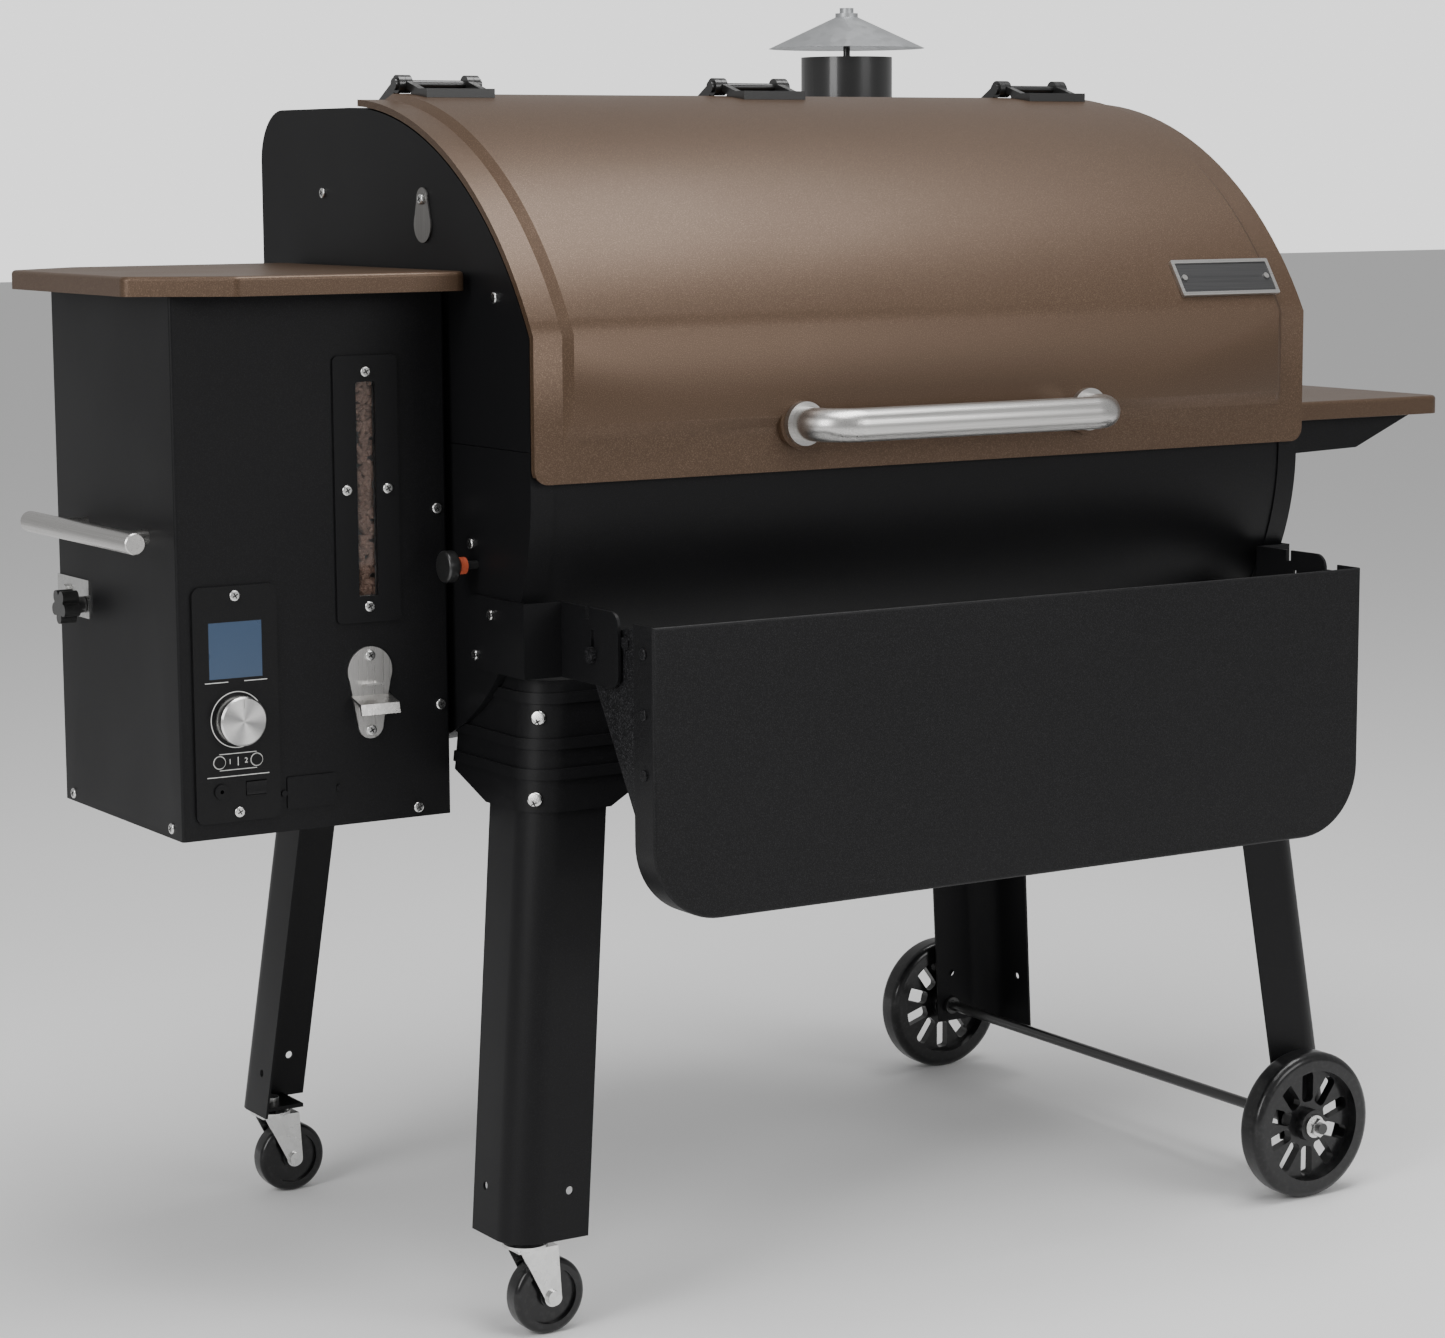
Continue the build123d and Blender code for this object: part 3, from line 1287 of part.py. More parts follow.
def fire_pot_low_z():
    """Height at which the pot's round foot meets the curve of the belly."""
    inner = belly_radius + shell_grow - shell_sheet
    overhang = auger_y + fire_pot_radius - (barrel_back - belly_radius)
    overhang = max(overhang, barrel_front + belly_radius - (auger_y - fire_pot_radius), 0)
    return belly_centre_z - math.sqrt(inner ** 2 - overhang ** 2) + seat_gap


def auger_screw():
    """Shaft with a row of tilted flights."""
    start = auger_tube_left + 1
    end = fire_pot_x - fire_pot_radius - 6
    screw_shape = rod((start - 9, auger_y, auger_z), (1, 0, 0), auger_shaft_radius, end - start + 9)
    count = int((end - start - 20) / auger_pitch)
    lean = math.radians(14)
    for i in range(count):
        x = start + 20 + auger_pitch * (i + 0.5)
        flight = Plane(origin=(x, auger_y, auger_z), z_dir=(math.cos(lean), 0, math.sin(lean)))
        disc = flight * extrude(Circle(auger_screw_radius * 1.08), amount=2.5)
        screw_shape += disc & rod((x - 40, auger_y, auger_z), (1, 0, 0), auger_screw_radius, 80)
    return screw_shape


def auger_motor():
    """Gear motor at the tube's left end, with a socket for the shaft."""
    front = auger_tube_left
    plate = block(front - 4, front, auger_y - 36, auger_y + 36, auger_z - 36, auger_z + 36)
    body = rod((front - 4, auger_y, auger_z), (-1, 0, 0), 28, 34)
    motor = plate + body
    return motor - rod((front + 1, auger_y, auger_z), (-1, 0, 0), auger_shaft_radius + running_clearance, 12)


def fire_pot():
    """Burn pot with air holes and an igniter rod through its wall."""
    low = fire_pot_low_z()
    base = (fire_pot_x, auger_y, low)
    pot = rod(base, (0, 0, 1), fire_pot_radius, fire_pot_height)
    pot -= rod((fire_pot_x, auger_y, low + fire_pot_wall), (0, 0, 1), fire_pot_radius - fire_pot_wall,
               fire_pot_height)
    pot -= rod((fire_pot_x, auger_y, low - 1), (0, 0, 1), ash_cup_radius - 8, 6)
    pot -= rod((fire_pot_x - fire_pot_radius - 5, auger_y, auger_z), (1, 0, 0),
               auger_tube_radius - auger_tube_wall, 20)
    for i in range(3, 12):
        turn = 2 * math.pi * i / 14 - math.pi / 2 - math.pi / 14
        way = (math.cos(turn), math.sin(turn), 0)
        pot -= rod((fire_pot_x, auger_y, low + 24), way, 4, fire_pot_radius + 5)
    rod_y = auger_y + fire_pot_radius
    igniter_z = low + 40
    pot -= rod((fire_pot_x, rod_y + 4, igniter_z), (0, -1, 0), 5 + hole_clearance, 10)
    igniter = rod((fire_pot_x, rod_y + 70, igniter_z), (0, -1, 0), 5, 84)
    igniter += rod((fire_pot_x, rod_y, igniter_z), (0, 1, 0), 8, 12)
    return solids_of(pot, igniter)


def fan_housing():
    """Blower scroll standing on the hopper floor."""
    x0 = -600.0
    outer = rod((x0, fan_y, fan_z), (1, 0, 0), fan_radius, 44)
    foot_low = hopper_bottom_z + hopper_sheet
    outer += block(x0, x0 + 44, fan_y - 30, fan_y + 30, foot_low, fan_z)
    outer -= rod((x0 + 2, fan_y, fan_z), (1, 0, 0), fan_radius - 3, 40)
    outer -= rod((x0 - 1, fan_y, fan_z), (1, 0, 0), 20, 5)
    shaft = rod((x0 + 30, fan_y, fan_z), (1, 0, 0), 4, 14)
    return outer + shaft


def fan_impeller():
    """Bladed wheel on the blower's shaft."""
    x0 = -594.0
    hub = rod((x0 + 26, fan_y, fan_z), (1, 0, 0), 34, 2)
    hub += rod((x0 + 14, fan_y, fan_z), (1, 0, 0), 8, 13)
    for i in range(12):
        turn = 2 * math.pi * i / 12
        middle = Pos(x0 + 16, fan_y + 29 * math.cos(turn), fan_z + 29 * math.sin(turn))
        hub += middle * Rotation(math.degrees(turn), 0, 0) * Box(22, 8, 1.2)
    return hub - rod((x0 + 22, fan_y, fan_z), (1, 0, 0), 4 + running_clearance, 10)


def ash_cup():
    """Twist-off cup hung under the belly by its turned rim."""
    top = barrel_bottom - shell_grow - seat_gap - 1.7
    low = top - ash_cup_height
    cup = rod((fire_pot_x, auger_y, low), (0, 0, 1), ash_cup_radius, ash_cup_height)
    cup += rod((fire_pot_x, auger_y, top - 4), (0, 0, 1), ash_cup_radius + 6, 4)
    cup -= rod((fire_pot_x, auger_y, low + ash_cup_wall), (0, 0, 1), ash_cup_radius - ash_cup_wall,
               ash_cup_height)
    cup = cup + rod((fire_pot_x, auger_y, low), (0, 0, -1), 9, 16)
    return cup


# ---------------------------------------------------------------- inside the barrel
def round_bars(xs, y0, y1, z, radius):
    """Parallel rods along Y."""
    return [rod((x, y0, z), (0, 1, 0), radius, y1 - y0) for x in xs]


def cooking_grate(centre_x):
    """Rod grate with a round frame and three cross rods."""
    half = grate_length / 2 - 2
    bars = int((2 * half - 10) / grate_rod_pitch)
    first = centre_x - grate_rod_pitch * (bars - 1) / 2
    grate = Part()
    for bar in round_bars([first + grate_rod_pitch * i for i in range(bars)], grate_front, grate_back,
                          grate_z, grate_rod_radius):
        grate += bar
    low = grate_z - grate_rod_radius - grate_frame_radius + 2
    for y in (grate_front + 8, (grate_front + grate_back) / 2, grate_back - 8):
        grate += rod((centre_x - half, y, low), (1, 0, 0), grate_frame_radius, 2 * half)
    return grate


def cooking_grates():
    """Two lift-out grates side by side on the ledges."""
    return solids_of(cooking_grate(-grate_length / 2), cooking_grate(grate_length / 2))


def grate_ledges():
    """Angle ledges on the front and back walls that carry the grates, and pegs for the upper rack."""
    low = grate_z - grate_rod_radius - 2 * grate_frame_radius + 2
    inner_front = barrel_front - shell_grow + shell_sheet
    inner_back = barrel_back + shell_grow - shell_sheet
    reach = half_length - 12
    front = block(-reach, reach, inner_front, grate_front + 16, low - 3, low)
    front += block(-reach, reach, inner_front, inner_front + 2, low - 20, low)
    front -= block(-reach - 1, reach + 1, inner_front - 5, belly_y(low - 20, shell_grow - shell_sheet) + 0.2,
                   low - 30, low - 3)
    back = block(-reach, reach, grate_back - 16, inner_back, low - 3, low)
    back += block(-reach, reach, inner_back - 2, inner_back, low - 3, low + 14)
    shelf = block(-reach, reach, rack_back - 14, inner_back, rack_z - 6, rack_z - 3)
    shelf += block(-reach, reach, inner_back - 2, inner_back, rack_z - 6, rack_z + 14)
    return solids_of(front, back, shelf)


def warming_rack():
    """Upper rod rack on the rear ledge with two wire legs on the grate."""
    half = barrel_length / 2 - 60
    bars = 39
    pitch = (2 * half - 12) / (bars - 1)
    rack = Part()
    for bar in round_bars([-half + 6 + pitch * i for i in range(bars)], rack_front, rack_back, rack_z, 2):
        rack += bar
    for y in (rack_front + 4, rack_back - 8):
        rack += rod((-half, y, rack_z), (1, 0, 0), 3, 2 * half)
    leg_low = grate_z + grate_rod_radius + seat_gap
    for side in (-1, 1):
        x = side * (half - 8)
        rack += rod((x, rack_front + 4, leg_low), (0, 0, 1), 3, rack_z - leg_low)
    return rack


def tray_body(slope, middle_z, fill):
    """Tilted tray; fill closes its hollow to make a cutter for the bars beneath it."""
    length = 2 * tray_half_length - 8
    depth = tray_back - tray_front
    flat = Pos(0, 0, fill / 2) * Box(length, depth, 18 + fill)
    if fill == 0:
        flat -= Pos(0, 0, tray_sheet) * Box(length - 2 * tray_sheet, depth - 2 * tray_sheet, 18)
    tilt = Rotation(0, math.degrees(slope), 0)
    return Pos(0, (tray_front + tray_back) / 2, middle_z) * tilt * flat


def grease_tray():
    """Sloped drip tray with turned-up edges, a port above the fire pot and a spout at the right."""
    slope = math.atan2(tray_high_z - tray_low_z, 2 * tray_half_length)
    middle_z = (tray_high_z + tray_low_z) / 2
    tray = tray_body(slope, middle_z, 0)
    tray -= block(fire_pot_x - 45, fire_pot_x + 45, auger_y - 45, auger_y + 45, middle_z - 30, middle_z + 30)
    tray -= rod((drain_x, bucket_y, middle_z - 60), (0, 0, 1), 12, 80)
    tray -= block(-tray_half_length - 5, -tray_half_length + 20, slide_rod_y - 8, slide_rod_y + 8,
                  slide_rod_z - 6, slide_rod_z + 40)
    ledges = []
    for x in (-tray_half_length + tray_bar_inset, tray_half_length - tray_bar_inset):
        low_z = middle_z - math.tan(slope) * x - 10
        front = belly_y(low_z - 16, shell_grow - shell_sheet) + seat_gap
        back = belly_back_y(low_z - 16, shell_grow - shell_sheet) - seat_gap
        bar = block(x - 8, x + 8, front, back, low_z - 16, low_z + 2)
        bar -= Pos(0, 0, -hole_clearance) * tray_body(slope, middle_z, 40)
        ledges.append(bar)
    return solids_of(tray, *ledges)


def grease_drain():
    """Drain tube from the tray's low corner down through the belly, and the bucket's hook."""
    slope_z = (tray_high_z + tray_low_z) / 2 - (tray_high_z - tray_low_z) * drain_x / (2 * tray_half_length)
    top = slope_z - 14
    low = barrel_bottom - 24
    tube = rod((drain_x, bucket_y, low), (0, 0, 1), 13.8, top - low)
    tube -= rod((drain_x, bucket_y, low - 1), (0, 0, 1), 12, top - low + 2)
    under = barrel_bottom - shell_grow - hole_clearance
    tube += rod((drain_x, bucket_y, under), (0, 0, -1), 20, 2) - rod(
        (drain_x, bucket_y, under + 1), (0, 0, -1), 13, 8)
    tongue_z = bail_top_z() - bail_radius - 0.3
    hook = rod((bucket_x - 10, bucket_y, under), (0, 0, -1), 3, under - tongue_z + 3)
    hook += block(bucket_x - 12, bucket_x + 8, bucket_y - 3, bucket_y + 3, tongue_z - 4, tongue_z)
    hook += block(bucket_x + 5, bucket_x + 8, bucket_y - 3, bucket_y + 3, tongue_z - 4, tongue_z + 6)
    return solids_of(tube, hook)


def bail_top_z():
    """Height of the bail's straight top."""
    return bucket_rim_z - bucket_ear_drop + bail_height


def grease_bucket():
    """Tapered pail with a rolled rim and two ears that take the bail's ends."""
    low = bucket_rim_z - bucket_height
    ear_z = bucket_rim_z - bucket_ear_drop
    rim_low = bucket_height - bucket_rim_depth
    wall = outline_face(
        (0, 0), (bucket_foot_radius, 0), (bucket_top_radius, rim_low),
        (bucket_top_radius + bucket_rim_roll, rim_low), (bucket_top_radius + bucket_rim_roll, bucket_height),
        (bucket_top_radius - bucket_wall, bucket_height), (bucket_foot_radius - bucket_wall, bucket_wall),
        (0, bucket_wall))
    pail = Pos(bucket_x, bucket_y, low) * revolve(Plane.XZ * wall, axis=Axis.Z)
    for side in (-1, 1):
        ear_start = bucket_y + side * (bucket_top_radius - bucket_ear_depth)
        ear = rod((bucket_x, ear_start, ear_z), (0, side, 0), bucket_ear_radius, bucket_ear_depth + 3)
        hole = rod((bucket_x, bucket_y + side * 40, ear_z), (0, side, 0), bail_radius + bail_clearance, 50)
        pail = pail + ear - hole
    return pail


def bucket_bail():
    """Wire bail whose ends turn into the pail's ears."""
    reach = bucket_top_radius + 10
    z = bucket_rim_z - bucket_ear_drop
    path = FilletPolyline(
        (bucket_x, bucket_y - reach + 12, z), (bucket_x, bucket_y - reach, z),
        (bucket_x, bucket_y - reach + 14, z + bail_height), (bucket_x, bucket_y + reach - 14, z + bail_height),
        (bucket_x, bucket_y + reach, z), (bucket_x, bucket_y + reach - 12, z), radius=4)
    start = Plane(origin=(bucket_x, bucket_y - reach + 12, z), z_dir=(0, -1, 0))
    return sweep(start * Circle(bail_radius), path=path)


def temperature_probe():
    """Sensor rod standing in from the left end panel."""
    y, z = 110.0, 900.0
    start = -half_length + panel_sheet + 0.1
    probe = rod((start, y, z), (1, 0, 0), 10, 4)
    return probe + rod((start, y, z), (1, 0, 0), 3, 72)


# ---------------------------------------------------------------- flame slide
def pull_knob():
    """Turned black knob on its push-pull rod, with a red grip band as a second solid."""
    x = -half_length - 14
    knob = rod((x - 22, slide_rod_y, slide_rod_z), (1, 0, 0), 15, 12)
    knob = fillet(knob.edges().filter_by(GeomType.CIRCLE), 2.5)
    knob += rod((x - 11, slide_rod_y, slide_rod_z), (1, 0, 0), 7, 5)
    stem = rod((x - 11, slide_rod_y, slide_rod_z), (1, 0, 0), slide_rod_radius, fire_pot_x - 70 - x + 11)
    grip = rod((x - 5.9, slide_rod_y, slide_rod_z), (1, 0, 0), 8, 7)
    grip -= rod((x - 7, slide_rod_y, slide_rod_z), (1, 0, 0), slide_rod_radius + 0.01, 10)
    return solids_of(knob + stem, grip)


def flame_slide():
    """Cover plate over the tray's port, tied to the slide rod by a folded arm."""
    middle_z = (tray_high_z + tray_low_z) / 2
    plate_z = middle_z - 3
    plate = block(fire_pot_x - 52, fire_pot_x + 52, auger_y - 52, auger_y + 52, plate_z, plate_z + 2)
    arm_x = fire_pot_x - 72
    plate += block(arm_x - 2, fire_pot_x - 40, slide_rod_y - 12, auger_y - 30, plate_z, plate_z + 2)
    plate -= block(arm_x + 20, fire_pot_x - 39, slide_rod_y - 13, auger_y - 53, plate_z - 1, plate_z + 3)
    lug = block(arm_x - 2, arm_x + 2, slide_rod_y - 10, slide_rod_y + 10, plate_z, slide_rod_z + 8)
    lug -= rod((arm_x - 5, slide_rod_y, slide_rod_z), (1, 0, 0), slide_rod_radius + 0.02, 10)
    return plate + lug


# ---------------------------------------------------------------- right shelf
def right_shelf():
    """Fixed pan shelf with a turned-down lip and two tool slots."""
    low = shelf_top_z - shelf_lip
    left = half_length + seat_gap
    pan = block(left, shelf_right, shelf_front, shelf_back, low, shelf_top_z)
    pan = fillet(pan.edges().filter_by(Axis.Z).sort_by(Axis.X)[-2:], 14)
    pan = fillet(pan.faces().sort_by(Axis.Z)[-1].edges().filter_by(lambda e: e.center().X > left + 1), 4)
    inner = block(left - 1, shelf_right - shelf_sheet, shelf_front + shelf_sheet,
                  shelf_back - shelf_sheet, low - 1, shelf_top_z - shelf_sheet)
    inner = fillet(inner.edges().filter_by(Axis.Z).sort_by(Axis.X)[-2:], 12)
    pan -= inner
    for y in (-200.0, -150.0):
        pan -= block(left + 22, left + 62, y - 4, y + 4, shelf_top_z - 5, shelf_top_z + 1)
    return pan


shelf_bracket_ys = (-236.0, 92.0)


def shelf_brackets():
    """Two folded gussets under the right shelf and the two stepped hangers of the front shelf."""
    left = half_length + seat_gap
    top = shelf_top_z - shelf_sheet - hole_clearance
    face = outline_face(
        (left, top), (left, shelf_bracket_low_z), (shelf_bracket_knee_x, shelf_bracket_low_z + 6),
        (shelf_right - 24, shelf_top_z - shelf_lip + 2), (shelf_right - 24, top))
    shapes = []
    for y in shelf_bracket_ys:
        shapes.append(along_y(face, y - 1.25, y + 1.25)
                      + block(left, left + 2.5, y, y + (24 if y < 0 else -24), shelf_bracket_low_z, top))
    hanger = shelf_hanger()
    shapes.extend([hanger, mirror_x(hanger)])
    return solids_of(*shapes)


hanger_plate_x = -(fold_half_length + 0.5 + hanger_sheet)
hanger_screw_places = [(hanger_back_y - 44, hanger_high_z - 16), (hanger_back_y - 13, hanger_low_z + 13)]


def shelf_hanger():
    """Left stepped bracket: flange on the end panel, web across, forward plate with a keyhole."""
    outer = -half_length - hanger_sheet
    tall = hanger_high_z - hanger_low_z
    middle = (hanger_high_z + hanger_low_z) / 2
    flange_face = plate_face(hanger_back_y - hanger_step_y, tall, 12,
                             ((hanger_back_y + hanger_step_y) / 2, middle))
    flange_face += Pos(hanger_step_y + 20, middle) * Rectangle(40, tall)
    flange = along_x(flange_face, outer, -half_length)
    web = block(outer, hanger_plate_x + hanger_sheet, hanger_step_y, hanger_step_y + hanger_sheet,
                hanger_low_z, hanger_high_z)
    plate = plate_face(hanger_step_y - hanger_front_y, tall, 14,
                       ((hanger_step_y + hanger_front_y) / 2, middle))
    plate += Pos(hanger_step_y - 20, middle) * Rectangle(40, tall)
    plate -= Pos(fold_pivot_y, fold_pivot_z) * Circle(fold_stud_radius + running_clearance)
    plate -= Pos(fold_pivot_y, fold_pivot_z + 12) * Rectangle(4.4, 22)
    plate -= Pos(fold_pivot_y + 10, hanger_high_z - 5) * Rectangle(7, 12)
    hanger = flange + web + along_x(plate, hanger_plate_x, hanger_plate_x + hanger_sheet)
    for y, z in hanger_screw_places:
        hanger -= rod((outer - 1, y, z), (1, 0, 0), screw_shank_radius + hole_clearance, 10)
    return hanger


# ---------------------------------------------------------------- front folding shelf
def front_shelf():
    """Folding shelf pan: flat face, rounded lower corners, deep rim at the sides and foot."""
    def face(inset):
        half = fold_half_length - inset
        radius = fold_corner_radius - inset
        top = fold_top_z
        low = fold_bottom_z + inset
        sketch = Pos(0, (top + low) / 2) * RectangleRounded(2 * half, top - low, radius)
        return sketch + Pos(0, top - radius / 2 - 1) * Rectangle(2 * half, radius + 2)
    pan = along_y(face(0), fold_face_y, fold_face_y + fold_rim)
    front_edges = pan.faces().sort_by(Axis.Y)[0].edges()
    pan = fillet(front_edges, 3)
    hollow = along_y(face(fold_sheet), fold_face_y + fold_sheet, fold_face_y + fold_rim + 1)
    hollow += block(-fold_half_length + fold_sheet, fold_half_length - fold_sheet, fold_face_y + 20,
                    fold_face_y + fold_rim + 1, fold_top_z - 40, fold_top_z + 1)
    pan -= hollow
    for side in (-1, 1):
        for z in arm_screw_zs:
            pan -= screw_hole((side * fold_half_length, arm_screw_y, z), (side, 0, 0))
    return pan


arm_screw_y = fold_face_y + 16
arm_screw_zs = (655.0, 600.0, 545.0)
arm_sheet = 3.0


def fold_arms():
    """Two gusset arms inside the shelf's rims, each with its pivot stud and lock bolt."""
    inner_face = fold_half_length - fold_sheet
    shapes = []
    face = outline_face(
        (fold_face_y + 4, fold_top_z - 6), (fold_face_y + 4, 500), (fold_face_y + 34, 500),
        (fold_pivot_y + 12, 628), (fold_pivot_y + 16, fold_pivot_z + 6), (fold_pivot_y + 2, fold_pivot_z + 16),
        (lock_bolt_y, fold_top_z - 6))
    plate_outer = fold_half_length - fold_sheet - hole_clearance
    for side in (-1, 1):
        ends = sorted((side * plate_outer, side * (plate_outer - arm_sheet)))
        arm = along_x(face, ends[0], ends[1])
        stud_start = side * (plate_outer - arm_sheet - 3)
        reach = abs(hanger_plate_x) + 4 - abs(stud_start)
        arm += rod((stud_start, fold_pivot_y, fold_pivot_z), (side, 0, 0), fold_stud_radius, reach)
        arm += rod((side * (abs(hanger_plate_x) + seat_gap), fold_pivot_y, fold_pivot_z), (side, 0, 0),
                   fold_stud_radius + 3.4, 4)
        arm += rod((side * (plate_outer - 1), lock_bolt_y, lock_bolt_z), (side, 0, 0), 6, 3.2)
        for z in arm_screw_zs:
            arm -= rod((side * (inner_face + 2), arm_screw_y, z), (-side, 0, 0),
                       screw_shank_radius + hole_clearance, 12)
        shapes.append(arm)
    return solids_of(*shapes)


def fold_screws():
    """Three screws a side that hold the arms in the shelf."""
    shapes = []
    for side in (-1, 1):
        for z in arm_screw_zs:
            shapes.append(screw((side * fold_half_length, arm_screw_y, z), (side, 0, 0), 7))
    return solids_of(*shapes)


# ---------------------------------------------------------------- small parts
def probe_port_cover():
    """Teardrop flap that swings on its upper screw."""
    outer = -half_length - seat_gap
    face = Pos(probe_cover_y, probe_cover_z) * Circle(11)
    face += Pos(probe_cover_y, probe_cover_z - probe_cover_drop + 8) * Circle(17)
    face += outline_face(
        (probe_cover_y - 10.8, probe_cover_z), (probe_cover_y + 10.8, probe_cover_z),
        (probe_cover_y + 16.7, probe_cover_z - 22), (probe_cover_y - 16.7, probe_cover_z - 22))
    flap = along_x(face, outer - 1.5, outer)
    return flap - rod((outer - 5, probe_cover_y, probe_cover_z), (1, 0, 0),
                      screw_shank_radius + running_clearance, 10)


def panel_screws():
    """Every sheet screw that stays with the cooker's body."""
    shapes = []
    for y, z in panel_screw_places:
        for side in (-1, 1):
            shapes.append(screw((side * half_length, y, z), (side, 0, 0)))
    for y, z in hanger_screw_places:
        for side in (-1, 1):
            shapes.append(screw((side * (half_length + hanger_sheet), y, z), (side, 0, 0), 8))
    shapes.append(screw((-half_length - 2.1, probe_cover_y, probe_cover_z), (-1, 0, 0), 7))
    for x, z in front_screw_places:
        shapes.append(screw((x, hopper_front, z), (0, -1, 0)))
    for x, z in window_screw_places():
        shapes.append(screw((x, hopper_front - window_frame_sheet, z), (0, -1, 0), 7))
    for x, z in opener_screw_places:
        shapes.append(screw((x, hopper_front - 2, z), (0, -1, 0), 7))
    for x, z in control_screw_places():
        shapes.append(screw((x, hopper_front - control_sheet, z), (0, -1, 0), 7))
    for y, z in left_screw_places:
        shapes.append(screw((hopper_left, y, z), (-1, 0, 0)))
    return solids_of(*shapes)


# ---------------------------------------------------------------- assembly
front_fork = caster_fork()
front_caster = caster_wheel()
left_leg = caster_leg()
right_leg = mirror_x(wheel_leg())

nodes = {
    "barrel_shell": barrel_shell(),
    "end_panel_left": end_panel_left(),
    "end_panel_right": end_panel_right(),
    "lid": lid(),
    "lid_handle": lid_handle(),
    "lid_badge": lid_badge(),
    "hinge_brackets": solids_of(hinge_brackets(), lid_hinge_pins()),
    "lid_hinge_leaves": lid_hinge_leaves(),
    "chimney_outlet": chimney_outlet(),
    "chimney_pipe": chimney_pipe(),
    "chimney_cap": chimney_cap(),
    "leg_front_left": left_leg,
    "leg_rear_left": to_rear(left_leg),
    "leg_front_right": right_leg,
    "leg_rear_right": to_rear(right_leg),
    "leg_saddles": leg_saddles(),
    "chrome_bolts": chrome_bolts(),
    "caster_fork_front": front_fork,
    "caster_fork_rear": to_rear(front_fork),
    "caster_wheel_front": front_caster,
    "caster_wheel_rear": to_rear(front_caster),
    "wheel_front": wheel(-1),
    "wheel_rear": wheel(1),
    "wheel_axle": wheel_axle(),
    "hopper_body": hopper_body(),
    "hopper_bin": solids_of(hopper_bin(), hopper_grate()),
    "hopper_lid": hopper_lid(),
    "hopper_hinges": hopper_hinges(),
    "hopper_trim": hopper_trim(),
    "window_panes": window_panes(),
    "control_panel": solids_of(control_panel(), controller_box()),
    "control_knob": control_knob(),
    "probe_button_left": push_button(-1),
    "probe_button_right": push_button(1),
    "power_rocker": power_rocker(),
    "bottle_opener": bottle_opener(),
    "side_handle": side_handle(),
    "cleanout_knob": cleanout_knob(),
    "power_inlet": power_inlet(),
    "auger_drive": solids_of(auger_tube(), auger_motor()),
    "auger_screw": auger_screw(),
    "fire_pot": fire_pot(),
    "fan_housing": fan_housing(),
    "fan_impeller": fan_impeller(),
    "ash_cup": ash_cup(),
    "cooking_grates": solids_of(cooking_grates(), warming_rack()),
    "grate_ledges": grate_ledges(),
    "grease_tray": grease_tray(),
    "grease_drain": grease_drain(),
    "grease_bucket": grease_bucket(),
    "bucket_bail": bucket_bail(),
    "temperature_probe": temperature_probe(),
    "pull_knob": pull_knob(),
    "flame_slide": flame_slide(),
    "right_shelf": right_shelf(),
    "shelf_brackets": shelf_brackets(),
    "front_shelf": front_shelf(),
    "fold_arms": solids_of(fold_arms(), fold_screws()),
    "probe_port_cover": probe_port_cover(),
    "panel_screws": panel_screws(),
}

boxes = [shape.bounding_box() for shape in nodes.values()]
footprint_x = (min(box.min.X for box in boxes) + max(box.max.X for box in boxes)) / 2
footprint_y = (min(box.min.Y for box in boxes) + max(box.max.Y for box in boxes)) / 2
floor_z = min(box.min.Z for box in boxes)

os.makedirs("parts", exist_ok=True)
for name, shape in nodes.items():
    export_step(Pos(-footprint_x, -footprint_y, -floor_z) * shape, f"parts/{name}.step")
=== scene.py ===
import json
import math
import random

import bpy
from mathutils import Matrix, Vector

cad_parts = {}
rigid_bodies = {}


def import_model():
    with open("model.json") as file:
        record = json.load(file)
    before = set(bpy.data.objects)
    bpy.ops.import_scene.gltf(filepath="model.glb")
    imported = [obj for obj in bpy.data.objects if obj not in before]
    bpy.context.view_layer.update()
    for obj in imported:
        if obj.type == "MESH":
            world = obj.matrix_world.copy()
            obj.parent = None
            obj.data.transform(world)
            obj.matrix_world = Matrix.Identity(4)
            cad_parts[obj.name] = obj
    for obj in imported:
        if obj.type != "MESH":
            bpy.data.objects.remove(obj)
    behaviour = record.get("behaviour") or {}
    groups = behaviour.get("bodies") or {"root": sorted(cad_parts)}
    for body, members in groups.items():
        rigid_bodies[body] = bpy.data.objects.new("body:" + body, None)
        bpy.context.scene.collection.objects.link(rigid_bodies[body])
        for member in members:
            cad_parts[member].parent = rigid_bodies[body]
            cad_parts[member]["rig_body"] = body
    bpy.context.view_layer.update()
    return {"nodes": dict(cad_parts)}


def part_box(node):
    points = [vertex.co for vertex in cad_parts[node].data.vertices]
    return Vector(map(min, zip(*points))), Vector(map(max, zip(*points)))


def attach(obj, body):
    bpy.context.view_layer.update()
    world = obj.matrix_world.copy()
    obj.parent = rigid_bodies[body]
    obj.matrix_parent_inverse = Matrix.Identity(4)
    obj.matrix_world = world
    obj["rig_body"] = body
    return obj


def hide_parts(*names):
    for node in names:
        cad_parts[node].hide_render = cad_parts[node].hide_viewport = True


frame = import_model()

# ---------------------------------------------------------------- studio
# A plain pale floor under soft lamps, seen from the cook's left at chest height.
# Nothing here is part of the grill.
camera_place = Vector((-2.0013, -3.0926, 1.0845))
camera_yaw = math.radians(32.12)
camera_pitch = math.radians(8.09)
camera_roll = math.radians(0.30)
camera_lens = 88.15

lens = bpy.data.cameras.new("studio_camera")
lens.lens = camera_lens
lens.sensor_width = 36.0
camera = bpy.data.objects.new("studio_camera", lens)
bpy.context.scene.collection.objects.link(camera)
camera.matrix_world = (Matrix.Translation(camera_place) @ Matrix.Rotation(-camera_yaw, 4, "Z")
                       @ Matrix.Rotation(math.pi / 2 - camera_pitch, 4, "X")
                       @ Matrix.Rotation(-camera_roll, 4, "Z"))
bpy.context.scene.camera = camera

